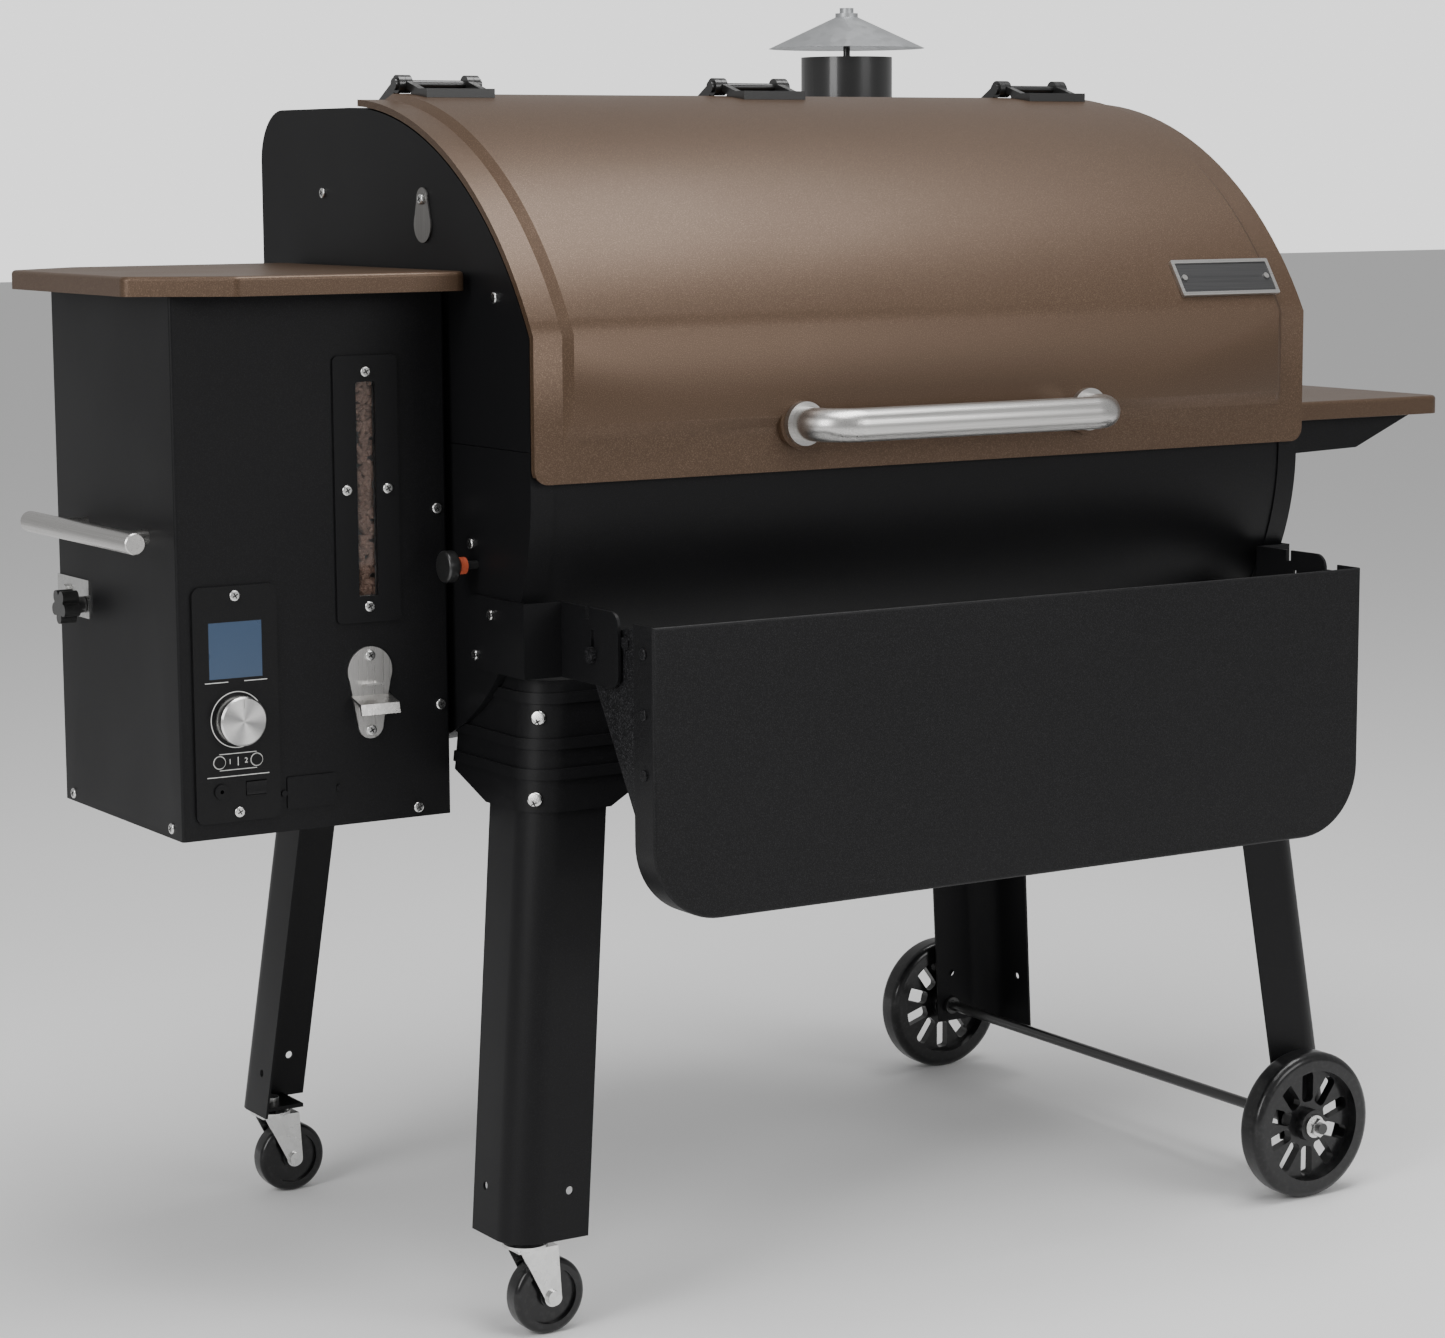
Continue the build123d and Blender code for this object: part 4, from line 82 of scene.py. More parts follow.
bpy.ops.object.select_all(action="DESELECT")
bpy.ops.mesh.primitive_plane_add(size=60, location=(0, 0, 0))
floor = bpy.context.object
floor.name = "studio_floor"
floor_paint = bpy.data.materials.new("floor_paint")
floor_paint.use_nodes = True
floor_shader = floor_paint.node_tree.nodes["Principled BSDF"]
floor_shader.inputs["Base Color"].default_value = (0.95, 0.95, 0.95, 1)
floor_shader.inputs["Roughness"].default_value = 0.6
floor.data.materials.append(floor_paint)

sky_light = 0.44
sky_backdrop = 1.6
sky = bpy.data.worlds.new("studio_sky")
sky.use_nodes = True
sky_glow = sky.node_tree.nodes["Background"]
sky_glow.inputs["Color"].default_value = (1.0, 1.0, 1.0, 1)
seen_rays = sky.node_tree.nodes.new("ShaderNodeLightPath")
glow_range = sky.node_tree.nodes.new("ShaderNodeMapRange")
glow_range.inputs["To Min"].default_value = sky_light
glow_range.inputs["To Max"].default_value = sky_backdrop
sky.node_tree.links.new(seen_rays.outputs["Is Camera Ray"], glow_range.inputs["Value"])
sky.node_tree.links.new(glow_range.outputs["Result"], sky_glow.inputs["Strength"])
bpy.context.scene.world = sky


def soft_lamp(name, place, aim, width, height, power):
    """A rectangular soft box that faces a point."""
    lamp = bpy.data.lights.new(name, "AREA")
    lamp.shape = "RECTANGLE"
    lamp.size = width
    lamp.size_y = height
    lamp.energy = power
    holder = bpy.data.objects.new(name, lamp)
    bpy.context.scene.collection.objects.link(holder)
    holder.location = place
    holder.rotation_euler = (Vector(aim) - Vector(place)).to_track_quat("-Z", "Y").to_euler()


soft_lamp("top_box", (0.2, -0.6, 3.6), (0, 0, 0.9), 3.0, 1.6, 105)
soft_lamp("left_box", (-3.4, -1.2, 2.0), (-0.4, 0, 0.8), 1.4, 2.2, 60)
soft_lamp("front_box", (1.4, -3.8, 2.2), (0.2, 0, 0.8), 2.0, 1.6, 45)

# ---------------------------------------------------------------- lid
# One pressed steel sheet wraps over the barrel's top and front, with a raised field inside flat border
# bands. It is powder coated in a bronze metallic with fine dark flecks.


def effect_group(name, inputs, outputs):
    """An empty shader node group with named value and colour sockets."""
    group = bpy.data.node_groups.new(name, "ShaderNodeTree")
    for label, start in inputs.items():
        kind = "NodeSocketFloat" if isinstance(start, float) else "NodeSocketColor"
        if label == "Stretch":
            kind = "NodeSocketVector"
        socket = group.interface.new_socket(label, in_out="INPUT", socket_type=kind)
        socket.default_value = start
    for label in outputs:
        kind = "NodeSocketColor" if label == "Colour" else "NodeSocketFloat"
        group.interface.new_socket(label, in_out="OUTPUT", socket_type=kind)
    entry = group.nodes.new("NodeGroupInput")
    leave = group.nodes.new("NodeGroupOutput")
    return group, entry.outputs, leave.inputs


def add_noise(group, vector, size, detail=2.0):
    """A noise texture on a vector, giving its value socket."""
    noise = group.nodes.new("ShaderNodeTexNoise")
    noise.inputs["Detail"].default_value = detail
    group.links.new(vector, noise.inputs["Vector"])
    if isinstance(size, float):
        noise.inputs["Scale"].default_value = size
    else:
        group.links.new(size, noise.inputs["Scale"])
    return noise.outputs[0]


def add_range(group, value, low, high, to_low, to_high):
    """A clamped map range; each end is a number or a socket."""
    node = group.nodes.new("ShaderNodeMapRange")
    group.links.new(value, node.inputs["Value"])
    for label, given in (("From Min", low), ("From Max", high), ("To Min", to_low), ("To Max", to_high)):
        if isinstance(given, (int, float)):
            node.inputs[label].default_value = given
        else:
            group.links.new(given, node.inputs[label])
    return node.outputs["Result"]


def add_mix(group, factor, first, second):
    """A colour mix of two sockets."""
    node = group.nodes.new("ShaderNodeMix")
    node.data_type = "RGBA"
    group.links.new(factor, node.inputs["Factor"])
    group.links.new(first, node.inputs[6])
    group.links.new(second, node.inputs[7])
    return node.outputs[2]


def add_sum(group, first, second, operation="ADD"):
    """A math node on two sockets."""
    node = group.nodes.new("ShaderNodeMath")
    node.operation = operation
    for place, given in ((0, first), (1, second)):
        if isinstance(given, (int, float)):
            node.inputs[place].default_value = given
        else:
            group.links.new(given, node.inputs[place])
    return node.outputs[0]


def speckled_coat_group():
    """Baked powder: a base tone, flecks of a second tone, soft drift, and a fine orange-peel grain."""
    group, given, out = effect_group(
        "speckled_coat",
        {"Base": (0.1, 0.1, 0.1, 1), "Fleck": (0.2, 0.2, 0.2, 1), "Fleck Amount": 0.5, "Grain": 900.0,
         "Roughness": 0.4, "Roughness Drift": 0.08},
        ("Colour", "Roughness", "Height"))
    place = group.nodes.new("ShaderNodeTexCoord").outputs["Object"]
    grain = add_noise(group, place, given["Grain"], 3.0)
    fleck = add_range(group, grain, 0.5, 0.72, 0.0, given["Fleck Amount"])
    drift = add_noise(group, place, 5.0, 4.0)
    group.links.new(add_mix(group, fleck, given["Base"], given["Fleck"]), out["Colour"])
    swing = add_range(group, drift, 0.3, 0.7, 0.0, given["Roughness Drift"])
    group.links.new(add_sum(group, given["Roughness"], swing), out["Roughness"])
    group.links.new(grain, out["Height"])
    return group


speckled_coat = speckled_coat_group()


def coat_finish(name, group, metallic, bump, bump_distance, coat=0.0, coat_roughness=0.2, sheen_level=0.5,
                **values):
    """A material whose colour, roughness and grain come from an effect group.

    sheen_level is the shader's own plain specular level.
    """
    material = bpy.data.materials.new(name)
    material.use_nodes = True
    tree = material.node_tree
    shader = tree.nodes["Principled BSDF"]
    effect = tree.nodes.new("ShaderNodeGroup")
    effect.node_tree = group
    for label, value in values.items():
        effect.inputs[label.replace("_", " ")].default_value = value
    tree.links.new(effect.outputs["Colour"], shader.inputs["Base Color"])
    tree.links.new(effect.outputs["Roughness"], shader.inputs["Roughness"])
    relief = tree.nodes.new("ShaderNodeBump")
    relief.inputs["Strength"].default_value = bump
    relief.inputs["Distance"].default_value = bump_distance
    tree.links.new(effect.outputs["Height"], relief.inputs["Height"])
    tree.links.new(relief.outputs["Normal"], shader.inputs["Normal"])
    shader.inputs["Metallic"].default_value = metallic
    shader.inputs["Specular IOR Level"].default_value = sheen_level
    shader.inputs["Coat Weight"].default_value = coat
    shader.inputs["Coat Roughness"].default_value = coat_roughness
    return material


bronze = coat_finish("bronze_coat", speckled_coat, 0.45, 0.25, 0.0004, Base=(0.082, 0.048, 0.028, 1),
                     Fleck=(0.20, 0.135, 0.090, 1), Fleck_Amount=0.7, Grain=1100.0, Roughness=0.36,
                     Roughness_Drift=0.06)


def finished(node, *materials, choose=None, smooth=32.0, edge=0.0):
    """A welded, smooth-shaded copy of a CAD node stands for it, with small rounded edges where edge is given.

    choose gives each face's material number from the face's middle and normal.
    """
    source = frame["nodes"][node]
    piece = bpy.data.objects.new(node + "_finished", source.data.copy())
    bpy.context.scene.collection.objects.link(piece)
    piece.data.materials.clear()
    for material in materials:
        piece.data.materials.append(material)
    bpy.ops.object.select_all(action="DESELECT")
    piece.select_set(True)
    bpy.context.view_layer.objects.active = piece
    bpy.ops.object.mode_set(mode="EDIT")
    bpy.ops.mesh.select_all(action="SELECT")
    bpy.ops.mesh.remove_doubles(threshold=0.00001)
    bpy.ops.mesh.customdata_custom_splitnormals_clear()
    if edge:
        bpy.ops.mesh.dissolve_limited(angle_limit=math.radians(0.5))
    bpy.ops.object.mode_set(mode="OBJECT")
    if edge:
        bevel = piece.modifiers.new("rounded_edges", "BEVEL")
        bevel.width = edge
        bevel.segments = 2
        bevel.limit_method = "ANGLE"
        bevel.angle_limit = math.radians(40)
        bpy.ops.object.modifier_apply(modifier=bevel.name)
    for face in piece.data.polygons:
        face.material_index = choose(face.center, face.normal) if choose else 0
    bpy.ops.object.shade_smooth_by_angle(angle=math.radians(smooth))
    if edge:
        flatten = piece.modifiers.new("flat_faces", "WEIGHTED_NORMAL")
        flatten.keep_sharp = True
        bpy.ops.object.modifier_apply(modifier=flatten.name)
    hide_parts(node)
    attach(piece, source["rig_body"])
    return piece


finished("lid", bronze)


# ---------------------------------------------------------------- lid badge
# A small stamped steel plate with a bright raised border and a dark blank field.
# Two rivets hold it to the lid's front.


def brushed_group():
    """Metal rubbed one way: long fine streaks in tone, roughness and relief. Stretch sets their direction."""
    group, given, out = effect_group(
        "brushed", {"Base": (0.6, 0.6, 0.6, 1), "Streak": (0.4, 0.4, 0.4, 1), "Streak Amount": 0.6,
                    "Stretch": (4.0, 900.0, 900.0), "Roughness": 0.25, "Roughness Drift": 0.15},
        ("Colour", "Roughness", "Height"))
    place = group.nodes.new("ShaderNodeTexCoord").outputs["Object"]
    mapping = group.nodes.new("ShaderNodeMapping")
    group.links.new(place, mapping.inputs["Vector"])
    group.links.new(given["Stretch"], mapping.inputs["Scale"])
    streak = add_noise(group, mapping.outputs["Vector"], 1.0, 3.0)
    amount = add_range(group, streak, 0.35, 0.7, 0.0, given["Streak Amount"])
    group.links.new(add_mix(group, amount, given["Base"], given["Streak"]), out["Colour"])
    swing = add_range(group, streak, 0.3, 0.7, 0.0, given["Roughness Drift"])
    group.links.new(add_sum(group, given["Roughness"], swing), out["Roughness"])
    group.links.new(streak, out["Height"])
    return group


brushed = brushed_group()


def brushed_finish(name, stretch, tone=0.62, roughness=0.24):
    """Bare stainless steel, rubbed along the axis where stretch is small."""
    return coat_finish(name, brushed, 1.0, 0.12, 0.0002, Base=(tone, tone * 0.985, tone * 0.96, 1),
                       Streak=(tone * 0.72, tone * 0.7, tone * 0.68, 1), Stretch=stretch,
                       Roughness=roughness)


steel_along_x = brushed_finish("steel_along_x", (6.0, 1200.0, 1200.0))
steel_along_y = brushed_finish("steel_along_y", (1200.0, 6.0, 1200.0))
steel_along_z = brushed_finish("steel_along_z", (1200.0, 1200.0, 6.0))
badge_field = coat_finish("badge_field", brushed, 0.6, 0.1, 0.0002, Base=(0.05, 0.05, 0.052, 1),
                          Streak=(0.09, 0.09, 0.09, 1), Stretch=(6.0, 1200.0, 1200.0), Roughness=0.35)
badge = finished("lid_badge", steel_along_x)
badge_front = max((face for face in badge.data.polygons if face.normal.y < 0), key=lambda face: face.area)
badge_out = badge_front.normal.copy()
badge_heights = [face.center.dot(badge_out) for face in badge.data.polygons]
rivet_over_field = 0.0017
level_slack = 0.0004
for face, height in zip(badge.data.polygons, badge_heights):
    sunk = abs(max(badge_heights) - height - rivet_over_field) < level_slack
    face.material_index = int(sunk and face.normal.dot(badge_out) > 0.9)
badge.data.materials.append(badge_field)

# ---------------------------------------------------------------- barrel, end panels, chimney outlet and legs
# Rolled and folded mild steel with a satin black powder coat of fine grain.
# The panels are screwed to the barrel's ends, and the legs are bolted into pressed saddles.
black_sheen = 0.18
satin_black = coat_finish("satin_black", speckled_coat, 0.0, 0.22, 0.0003, sheen_level=black_sheen,
                          Base=(0.005, 0.005, 0.0055, 1), Fleck=(0.022, 0.022, 0.024, 1),
                          Fleck_Amount=0.5, Grain=1300.0, Roughness=0.40)
for node in ("barrel_shell", "end_panel_left", "end_panel_right", "leg_saddles", "leg_front_left",
             "leg_rear_left", "leg_front_right", "leg_rear_right", "chimney_outlet", "hopper_body",
             "grate_ledges"):
    finished(node, satin_black)

# ---------------------------------------------------------------- front shelf and its arms
# Heavier folded sheet with a coarser black powder, coarsest on the arms.
# The arms are screwed to the shelf's ends and turn in hangers on the barrel.
coarse_black = coat_finish("coarse_black", speckled_coat, 0.0, 0.50, 0.0008, sheen_level=black_sheen,
                           Base=(0.006, 0.006, 0.0065, 1), Fleck=(0.06, 0.06, 0.064, 1),
                           Fleck_Amount=0.7, Grain=700.0, Roughness=0.36)
shelf_black = coat_finish("shelf_black", speckled_coat, 0.0, 0.35, 0.0005, sheen_level=black_sheen,
                          Base=(0.006, 0.006, 0.0065, 1), Fleck=(0.035, 0.035, 0.037, 1),
                          Fleck_Amount=0.6, Grain=1100.0, Roughness=0.38)
sheet_edge = 0.0007
finished("front_shelf", shelf_black, edge=sheet_edge)
finished("fold_arms", coarse_black)

# ---------------------------------------------------------------- bronze shelves
# The hopper's lid and the side shelf are pressed steel trays in the lid's bronze coat.
# The shelf stands on black folded brackets screwed to the right end panel.
for node in ("hopper_lid", "right_shelf"):
    finished(node, bronze, edge=sheet_edge)
finished("shelf_brackets", satin_black, edge=sheet_edge)

# ---------------------------------------------------------------- hinges and chimney pipe
# Gloss black hinge castings turn on steel pins, and the chimney's pipe is rolled black sheet.
# The cap, the bucket, the fire pot and the feed's sheet work are bare galvanised steel.
gloss_black = coat_finish("gloss_black", speckled_coat, 0.0, 0.1, 0.0002, coat=0.6, coat_roughness=0.12,
                          Base=(0.012, 0.012, 0.012, 1), Fleck=(0.02, 0.02, 0.02, 1), Grain=700.0,
                          Roughness=0.28)
for node in ("hinge_brackets", "lid_hinge_leaves", "chimney_pipe"):
    finished(node, gloss_black)


def spangle_group():
    """Zinc crystals on dipped sheet: flat patches of slightly different tone and sheen."""
    group, given, out = effect_group(
        "spangle", {"Base": (0.5, 0.5, 0.5, 1), "Patch": (0.7, 0.7, 0.7, 1), "Patch Size": 60.0,
                    "Roughness": 0.4, "Roughness Drift": 0.2},
        ("Colour", "Roughness", "Height"))
    place = group.nodes.new("ShaderNodeTexCoord").outputs["Object"]
    cells = group.nodes.new("ShaderNodeTexVoronoi")
    group.links.new(place, cells.inputs["Vector"])
    group.links.new(given["Patch Size"], cells.inputs["Scale"])
    tone = group.nodes.new("ShaderNodeSeparateColor")
    group.links.new(cells.outputs["Color"], tone.inputs[0])
    group.links.new(add_mix(group, tone.outputs[0], given["Base"], given["Patch"]), out["Colour"])
    swing = add_range(group, tone.outputs[1], 0.0, 1.0, 0.0, given["Roughness Drift"])
    group.links.new(add_sum(group, given["Roughness"], swing), out["Roughness"])
    group.links.new(add_noise(group, place, 300.0), out["Height"])
    return group


spangle = spangle_group()
galvanised = coat_finish("galvanised", spangle, 0.9, 0.1, 0.0003, Base=(0.42, 0.43, 0.44, 1),
                         Patch=(0.47, 0.48, 0.49, 1), Patch_Size=90.0, Roughness=0.42,
                         Roughness_Drift=0.08)
for node in ("chimney_cap", "grease_bucket", "ash_cup", "fire_pot", "fan_housing", "fan_impeller",
             "auger_drive", "auger_screw", "grease_tray", "grease_drain", "hopper_bin", "flame_slide"):
    finished(node, galvanised)

# ---------------------------------------------------------------- handles and bottle opener
# Round stainless tube and bar, rubbed along their length, on welded feet.
# The opener and the probe cover are stamped stainless sheet, held by screws.
finished("lid_handle", steel_along_x)
finished("side_handle", steel_along_y)
finished("bottle_opener", steel_along_z)
finished("probe_port_cover", brushed_finish("cover_steel", (1200.0, 1200.0, 8.0), 0.3, 0.34))
finished("temperature_probe", steel_along_x)
finished("wheel_axle", gloss_black)

# ---------------------------------------------------------------- bolts, screws and caster forks
# Bright zinc plate over steel: brighter than stainless, with soft clouding.
# The forks are pressed sheet, and the screws have low pan heads.
zinc = coat_finish("bright_zinc", spangle, 1.0, 0.05, 0.0002, Base=(0.74, 0.74, 0.73, 1),
                   Patch=(0.66, 0.66, 0.65, 1), Patch_Size=220.0, Roughness=0.16, Roughness_Drift=0.12)
for node in ("chrome_bolts", "panel_screws", "caster_fork_front", "caster_fork_rear", "hopper_hinges",
             "bucket_bail"):
    finished(node, zinc)

# ---------------------------------------------------------------- cross recesses of the screws
# A cross is stamped in the head of each screw and saddle bolt.
# Each is made here as two thin dark bars laid on the head, so it stands a little proud; their near-black
# colour is painted shade standing in for the shadow inside the recess.
recess_painted_shade = coat_finish("recess_painted_shade", speckled_coat, 0.6, 0.1, 0.0001, Base=(0.02, 0.02, 0.02, 1),
                          Fleck=(0.05, 0.05, 0.05, 1), Grain=900.0, Roughness=0.5)
recess_length = 0.0058
recess_width = 0.0011
recess_rise = 0.00008
crown_depth = 0.0006
cross_turn = 0.5
round_slack = 0.0004
saddle_over_foot = 0.2


def loose_parts(mesh):
    """The vertices of each separate solid of a welded mesh."""
    owner = list(range(len(mesh.vertices)))

    def top(index):
        while owner[index] != index:
            owner[index] = owner[owner[index]]
            index = owner[index]
        return index

    for edge in mesh.edges:
        first, second = top(edge.vertices[0]), top(edge.vertices[1])
        owner[first] = second
    groups = {}
    for index, vertex in enumerate(mesh.vertices):
        groups.setdefault(top(index), []).append(vertex.co.copy())
    return [groups[key] for key in sorted(groups)]


def add_cross(points, outward):
    """Two crossed bars at one screw's outermost points, square to its outward direction."""
    height = max(point.dot(outward) for point in points)
    crown = [point for point in points if point.dot(outward) > height - crown_depth]
    middle = sum(crown, Vector()) / len(crown)
    middle += outward * (height + recess_rise - middle.dot(outward))
    turn = outward.to_track_quat("Z", "Y")
    for quarter in (0, 1):
        bpy.ops.mesh.primitive_cube_add(size=1, location=middle)
        slot_bar = bpy.context.object
        spin = Matrix.Rotation(quarter * math.pi / 2 + cross_turn, 3, "Z").to_quaternion()
        slot_bar.rotation_euler = (turn @ spin).to_euler()
        slot_bar.scale = (recess_length, recess_width, recess_rise * 4)
        crosses.append(slot_bar)


screw_mesh = bpy.data.objects["panel_screws_finished"].data
bolt_mesh = bpy.data.objects["chrome_bolts_finished"].data
foot_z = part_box("leg_front_left")[0].z
crosses = []
bpy.ops.object.select_all(action="DESELECT")
for points in loose_parts(screw_mesh):
    spans = [max(point[axis] for point in points) - min(point[axis] for point in points)
             for axis in range(3)]
    middle = sum(points, Vector()) / len(points)
    # The four hanger screws are as long as their heads are wide, so they too are taken to face forward.
    faces_front = abs(spans[0] - spans[2]) < round_slack
    if faces_front:
        add_cross(points, Vector((0, -1, 0)))
    else:
        add_cross(points, Vector((-1 if middle.x < 0 else 1, 0, 0)))
for points in loose_parts(bolt_mesh):
    middle = sum(points, Vector()) / len(points)
    if middle.z > foot_z + saddle_over_foot:
        outward = Vector((math.copysign(1, middle.x), math.copysign(1, middle.y), 0))
        add_cross(points, outward.normalized())
for slot_bar in crosses:
    slot_bar.select_set(True)
bpy.context.view_layer.objects.active = crosses[0]
bpy.ops.object.join()
cross_piece = bpy.context.object
cross_piece.name = "screw_recess_painted_shade"
bpy.ops.object.transform_apply(location=True, rotation=True, scale=True)
bevel = cross_piece.modifiers.new("stamped_edges", "BEVEL")
bevel.width = recess_rise
bpy.ops.object.modifier_apply(modifier=bevel.name)
# The bars' near-black finish is the recesses' painted shade, not the zinc they are cut in.
cross_piece.data.materials.clear()
cross_piece.data.materials.append(recess_painted_shade)
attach(cross_piece, "cooker")

# ---------------------------------------------------------------- wheels
# Moulded black wheels and caster tyres with a glossy skin and light scuffs.
# The large pair turns on the through axle, and the casters turn in their forks.
tread_black = coat_finish("tread_black", speckled_coat, 0.0, 0.08, 0.0003, coat=0.5, coat_roughness=0.15,
                          sheen_level=0.2, Base=(0.006, 0.006, 0.0065, 1), Fleck=(0.03, 0.03, 0.03, 1),
                          Fleck_Amount=0.4, Grain=180.0, Roughness=0.22, Roughness_Drift=0.2)
for node in ("wheel_front", "wheel_rear", "caster_wheel_front", "caster_wheel_rear"):
    finished(node, tread_black)

# ---------------------------------------------------------------- grates
# Steel rods welded into two grates and an upper rack, under black porcelain, a little glossy.
# They rest loose on ledges inside the barrel.
porcelain = coat_finish("porcelain_black", speckled_coat, 0.0, 0.1, 0.0003, coat=0.3, Roughness=0.3,
                        Base=(0.02, 0.02, 0.021, 1), Fleck=(0.05, 0.05, 0.05, 1), Grain=400.0)
finished("cooking_grates", porcelain)

# ---------------------------------------------------------------- control panel
# A moulded black fascia carries a blue-grey display, a turned dial, two round buttons, a rocker and a jack.
# The white marks are screen printed, as rings, rules and plain numbers.
fascia_black = coat_finish("fascia_black", speckled_coat, 0.0, 0.12, 0.0002, sheen_level=black_sheen,
                           Base=(0.006, 0.006, 0.0065, 1), Fleck=(0.022, 0.022, 0.022, 1),
                           Grain=1500.0, Roughness=0.34)
for node in ("control_panel", "probe_button_left", "probe_button_right", "power_rocker", "power_inlet"):
    finished(node, fascia_black)
print_white = coat_finish("print_white", speckled_coat, 0.0, 0.05, 0.0001, Base=(0.72, 0.72, 0.70, 1),
                          Fleck=(0.62, 0.62, 0.60, 1), Grain=900.0, Roughness=0.5)
panel_low, panel_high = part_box("control_panel")
dial_low, dial_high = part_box("control_knob")
dial_centre = (dial_low + dial_high) / 2
jack_height = 0.002
fascia_face = panel_low.y + jack_height
print_depth = 0.00015


def turned_group():
    """A face turned on a lathe: fine rings about an axis along Y through the dial's centre."""
    group, given, out = effect_group(
        "turned", {"Base": (0.7, 0.7, 0.7, 1), "Groove": (0.4, 0.4, 0.4, 1), "Wedge Amount": 0.5,
                   "Roughness": 0.2, "Roughness Drift": 0.1},
        ("Colour", "Roughness", "Height"))
    place = group.nodes.new("ShaderNodeTexCoord").outputs["Object"]
    mapping = group.nodes.new("ShaderNodeMapping")
    mapping.inputs["Location"].default_value = (-dial_centre.x, 0.0, -dial_centre.z)
    group.links.new(place, mapping.inputs["Vector"])
    rings = group.nodes.new("ShaderNodeTexWave")
    rings.wave_type = "RINGS"
    rings.rings_direction = "Y"
    rings.inputs["Scale"].default_value = 700.0
    group.links.new(mapping.outputs["Vector"], rings.inputs["Vector"])
    parts = group.nodes.new("ShaderNodeSeparateXYZ")
    group.links.new(mapping.outputs["Vector"], parts.inputs[0])
    # Four pairs of bright and dark wedges around the dial's axis go into the colour: a painted reflection
    # standing in for the turned face's conic highlights.
    angle = add_sum(group, parts.outputs[0], parts.outputs[2], "ARCTAN2")
    painted_glint_wedge = add_sum(group, add_sum(group, angle, 4.0, "MULTIPLY"), 0.0, "SINE")
    tone = add_range(group, painted_glint_wedge, -1.0, 1.0, 0.0, given["Wedge Amount"])
    group.links.new(add_mix(group, tone, given["Base"], given["Groove"]), out["Colour"])
    swing = add_range(group, rings.outputs["Fac"], 0.0, 1.0, 0.0, given["Roughness Drift"])
    group.links.new(add_sum(group, given["Roughness"], swing), out["Roughness"])
    group.links.new(rings.outputs["Fac"], out["Height"])
    return group


# The second, dark colour is the shaded half of the dial's painted reflection wedges.
dial_steel = coat_finish("dial_steel", turned_group(), 1.0, 0.3, 0.0001, Base=(0.82, 0.81, 0.8, 1),
                         Groove=(0.30, 0.30, 0.30, 1), Wedge_Amount=0.75)
finished("control_knob", dial_steel)
print_width = 0.0008


def settle(piece, body, material):
    """Place goes into the mesh, then the piece gets its material and its body."""
    bpy.ops.object.select_all(action="DESELECT")
    piece.select_set(True)
    bpy.context.view_layer.objects.active = piece
    bpy.ops.object.transform_apply(location=True, rotation=True, scale=True)
    piece.data.materials.clear()
    piece.data.materials.append(material)
    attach(piece, body)
    return piece


def printed_ring(name, x, z, radius):
    """A printed circle on the fascia."""
    bpy.ops.object.select_all(action="DESELECT")
    bpy.ops.mesh.primitive_circle_add(vertices=64, radius=radius, location=(x, fascia_face, z),
                                      rotation=(math.pi / 2, 0, 0))
    ring = bpy.context.object
    ring.name = name
    bpy.ops.object.mode_set(mode="EDIT")
    bpy.ops.mesh.extrude_region_move(TRANSFORM_OT_translate={"value": (0, 0, 0)})
    share = (radius - print_width) / radius
    bpy.ops.transform.resize(value=(share, 1, share), center_override=(x, fascia_face, z))
    bpy.ops.mesh.select_all(action="SELECT")
    bpy.ops.mesh.extrude_region_move(TRANSFORM_OT_translate={"value": (0, -print_depth, 0)})
    bpy.ops.mesh.select_all(action="SELECT")
    bpy.ops.mesh.normals_make_consistent(inside=False)
    bpy.ops.object.mode_set(mode="OBJECT")
    return settle(ring, "cooker", print_white)


def printed_rule(name, x0, x1, z, height=0.0007):
    """A printed line on the fascia with softened corners."""
    bpy.ops.object.select_all(action="DESELECT")
    bpy.ops.mesh.primitive_cube_add(size=1, location=((x0 + x1) / 2, fascia_face - print_depth / 2, z))
    rule = bpy.context.object
    rule.name = name
    rule.scale = (x1 - x0, print_depth, height)
    bpy.ops.object.transform_apply(location=False, rotation=False, scale=True)
    bevel = rule.modifiers.new("soft_corners", "BEVEL")
    bevel.width = print_depth * 0.4
    bpy.ops.object.modifier_apply(modifier=bevel.name)
    return settle(rule, "cooker", print_white)


dial_half = (dial_high.x - dial_low.x) / 2
printed_ring("dial_ring", dial_centre.x, dial_centre.z, dial_half + 0.0035)
left_low, left_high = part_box("probe_button_left")
right_low, right_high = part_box("probe_button_right")
button_left = (left_low + left_high) / 2
button_right = (right_low + right_high) / 2
oval_height = 0.0075
printed_rule("oval_top", button_left.x, button_right.x, button_left.z + oval_height)
printed_rule("oval_bottom", button_left.x, button_right.x, button_left.z - oval_height)
printed_rule("oval_divider", dial_centre.x - print_width / 2, dial_centre.x + print_width / 2,
             button_left.z, 0.008)
for name, x in (("button_ring_left", button_left.x), ("button_ring_right", button_right.x)):
    printed_ring(name, x, button_left.z, 0.0062)
rule_inset = 0.011
panel_left, panel_right = panel_low.x + rule_inset, panel_high.x - rule_inset
printed_rule("rule_above_dial_left", panel_left, dial_centre.x - 0.008, dial_centre.z + dial_half + 0.0125)
printed_rule("rule_above_dial_right", dial_centre.x + 0.008, panel_right, dial_centre.z + dial_half + 0.0125)
printed_rule("rule_under_buttons", panel_left, panel_right, button_left.z - 0.0135)
number_inset = 0.0105
number_size = 0.007
for name, x, words in (("number_one", button_left.x + number_inset, "1"),
                       ("number_two", button_right.x - number_inset, "2")):
    bpy.ops.object.select_all(action="DESELECT")
    bpy.ops.object.text_add(location=(x, fascia_face, button_left.z), rotation=(math.pi / 2, 0, 0))
    number = bpy.context.object
    number.name = name
    number.data.body = words
    number.data.size = number_size
    number.data.align_x = "CENTER"
    number.data.align_y = "CENTER"
    number.data.extrude = print_depth
    bpy.ops.object.convert(target="MESH")
    settle(number, "cooker", print_white)

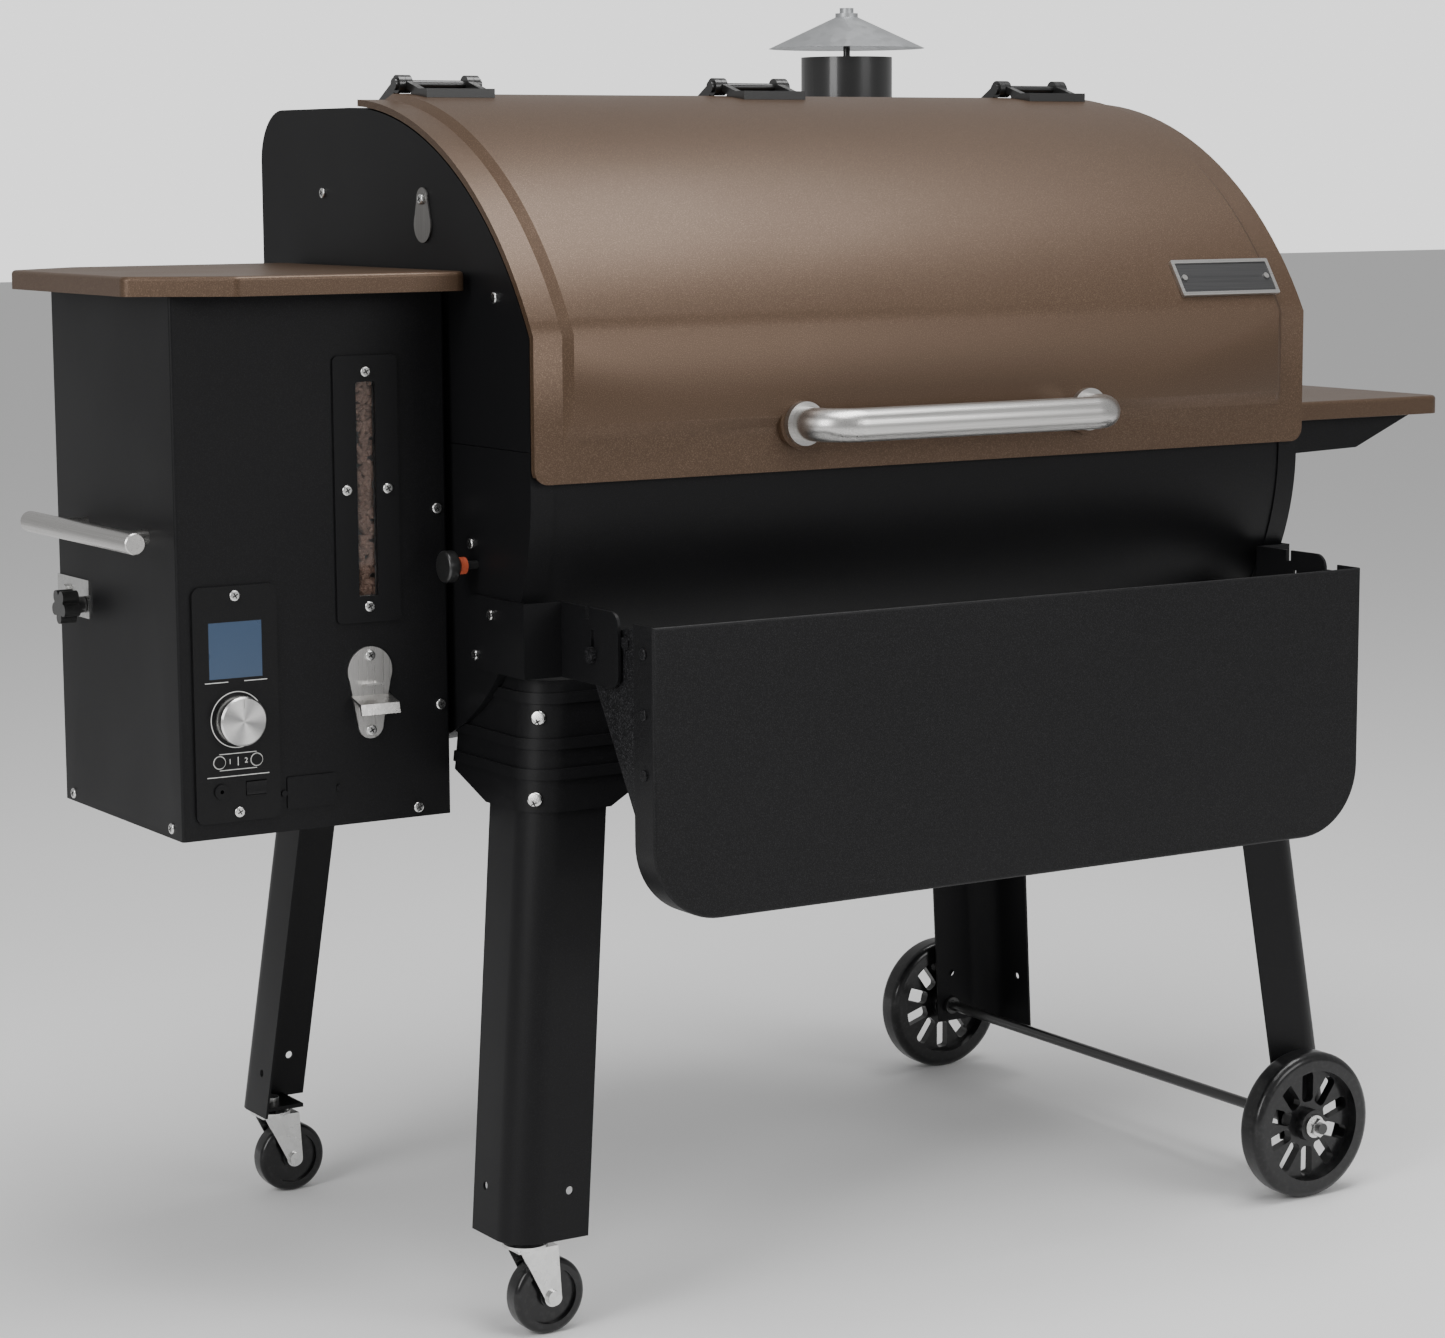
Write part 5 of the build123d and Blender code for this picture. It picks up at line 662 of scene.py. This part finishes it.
# ---------------------------------------------------------------- hopper window, display and plates
# A pressed black frame holds a clear pane over the fuel; the display is a tinted pane over a dark layer.
# Hardwood pellets, short broken brown rods, stand packed behind the frame's slot.
clear_pane = bpy.data.materials.new("clear_pane")
clear_pane.use_nodes = True
pane_shader = clear_pane.node_tree.nodes["Principled BSDF"]
pane_shader.inputs["Base Color"].default_value = (0.95, 0.95, 0.95, 1)
pane_shader.inputs["Roughness"].default_value = 0.05
pane_shader.inputs["Transmission Weight"].default_value = 1.0
pane_shader.inputs["IOR"].default_value = 1.45
display_blue = coat_finish("display_blue", speckled_coat, 0.0, 0.02, 0.0001, coat=0.8, coat_roughness=0.06,
                           Base=(0.022, 0.055, 0.115, 1), Fleck=(0.025, 0.06, 0.125, 1), Grain=600.0,
                           Roughness=0.25, Roughness_Drift=0.05)
split_x = panel_high.x + 0.02
finished("window_panes", clear_pane, display_blue, choose=lambda middle, normal: int(middle.x < split_x))
trim_low, trim_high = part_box("hopper_trim")


def trim_choice(middle, normal):
    """Frame and blank plate are black, the clean-out plate on the hopper's side is zinc."""
    return 1 if middle.x < trim_low.x + 0.01 else 0


finished("hopper_trim", satin_black, zinc, choose=trim_choice)

pellet_brown = coat_finish("pellet_brown", speckled_coat, 0.0, 0.5, 0.0006, Base=(0.26, 0.16, 0.12, 1),
                           Fleck=(0.46, 0.32, 0.25, 1), Fleck_Amount=0.8, Grain=450.0, Roughness=0.75)
pane_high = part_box("window_panes")[1]
slot_height = 0.200
window_frame_height = 0.249
slot_middle_x = pane_high.x - 0.0125
slot_middle_z = trim_high.z - window_frame_height / 2
pellet_radius = 0.003
pellet_draws = random.Random(7)
bpy.ops.object.select_all(action="DESELECT")
pellet_count = 190
made = []
for number in range(pellet_count):
    level = slot_middle_z - slot_height / 2 + slot_height * (number + 0.5) / pellet_count
    across = slot_middle_x + pellet_draws.uniform(-0.007, 0.007)
    depth = pane_high.y + 0.0045 + pellet_draws.uniform(0.0, 0.004)
    bpy.ops.mesh.primitive_cylinder_add(
        vertices=8, radius=pellet_radius, depth=pellet_draws.uniform(0.007, 0.011),
        location=(across, depth, level),
        rotation=(pellet_draws.uniform(-0.3, 0.3), pellet_draws.uniform(0, math.pi), 0))
    made.append(bpy.context.object)
for piece in made:
    piece.select_set(True)
bpy.context.view_layer.objects.active = made[0]
bpy.ops.object.join()
pellets = bpy.context.object
pellets.name = "wood_pellets"
bevel = pellets.modifiers.new("broken_ends", "BEVEL")
bevel.width = 0.0006
bpy.ops.object.modifier_apply(modifier=bevel.name)
settle(pellets, "cooker", pellet_brown)

# ---------------------------------------------------------------- moulded knobs
# Black phenolic hand knobs, moulded over threaded inserts.
# The slide's rod carries a red grip band that shows beside its knob.
knob_black = coat_finish("knob_black", speckled_coat, 0.0, 0.1, 0.0003, coat=0.4, coat_roughness=0.2,
                         Base=(0.013, 0.013, 0.013, 1), Fleck=(0.03, 0.03, 0.03, 1), Grain=300.0,
                         Roughness=0.3)
grip_red = coat_finish("grip_red", speckled_coat, 0.0, 0.2, 0.0003, Base=(0.55, 0.09, 0.035, 1),
                       Fleck=(0.62, 0.16, 0.08, 1), Grain=700.0, Roughness=0.5)
finished("cleanout_knob", knob_black)
pull_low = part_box("pull_knob")[0]
grip_start, grip_end = pull_low.x + 0.0155, pull_low.x + 0.0245
finished("pull_knob", knob_black, grip_red,
         choose=lambda middle, normal: int(grip_start < middle.x < grip_end))
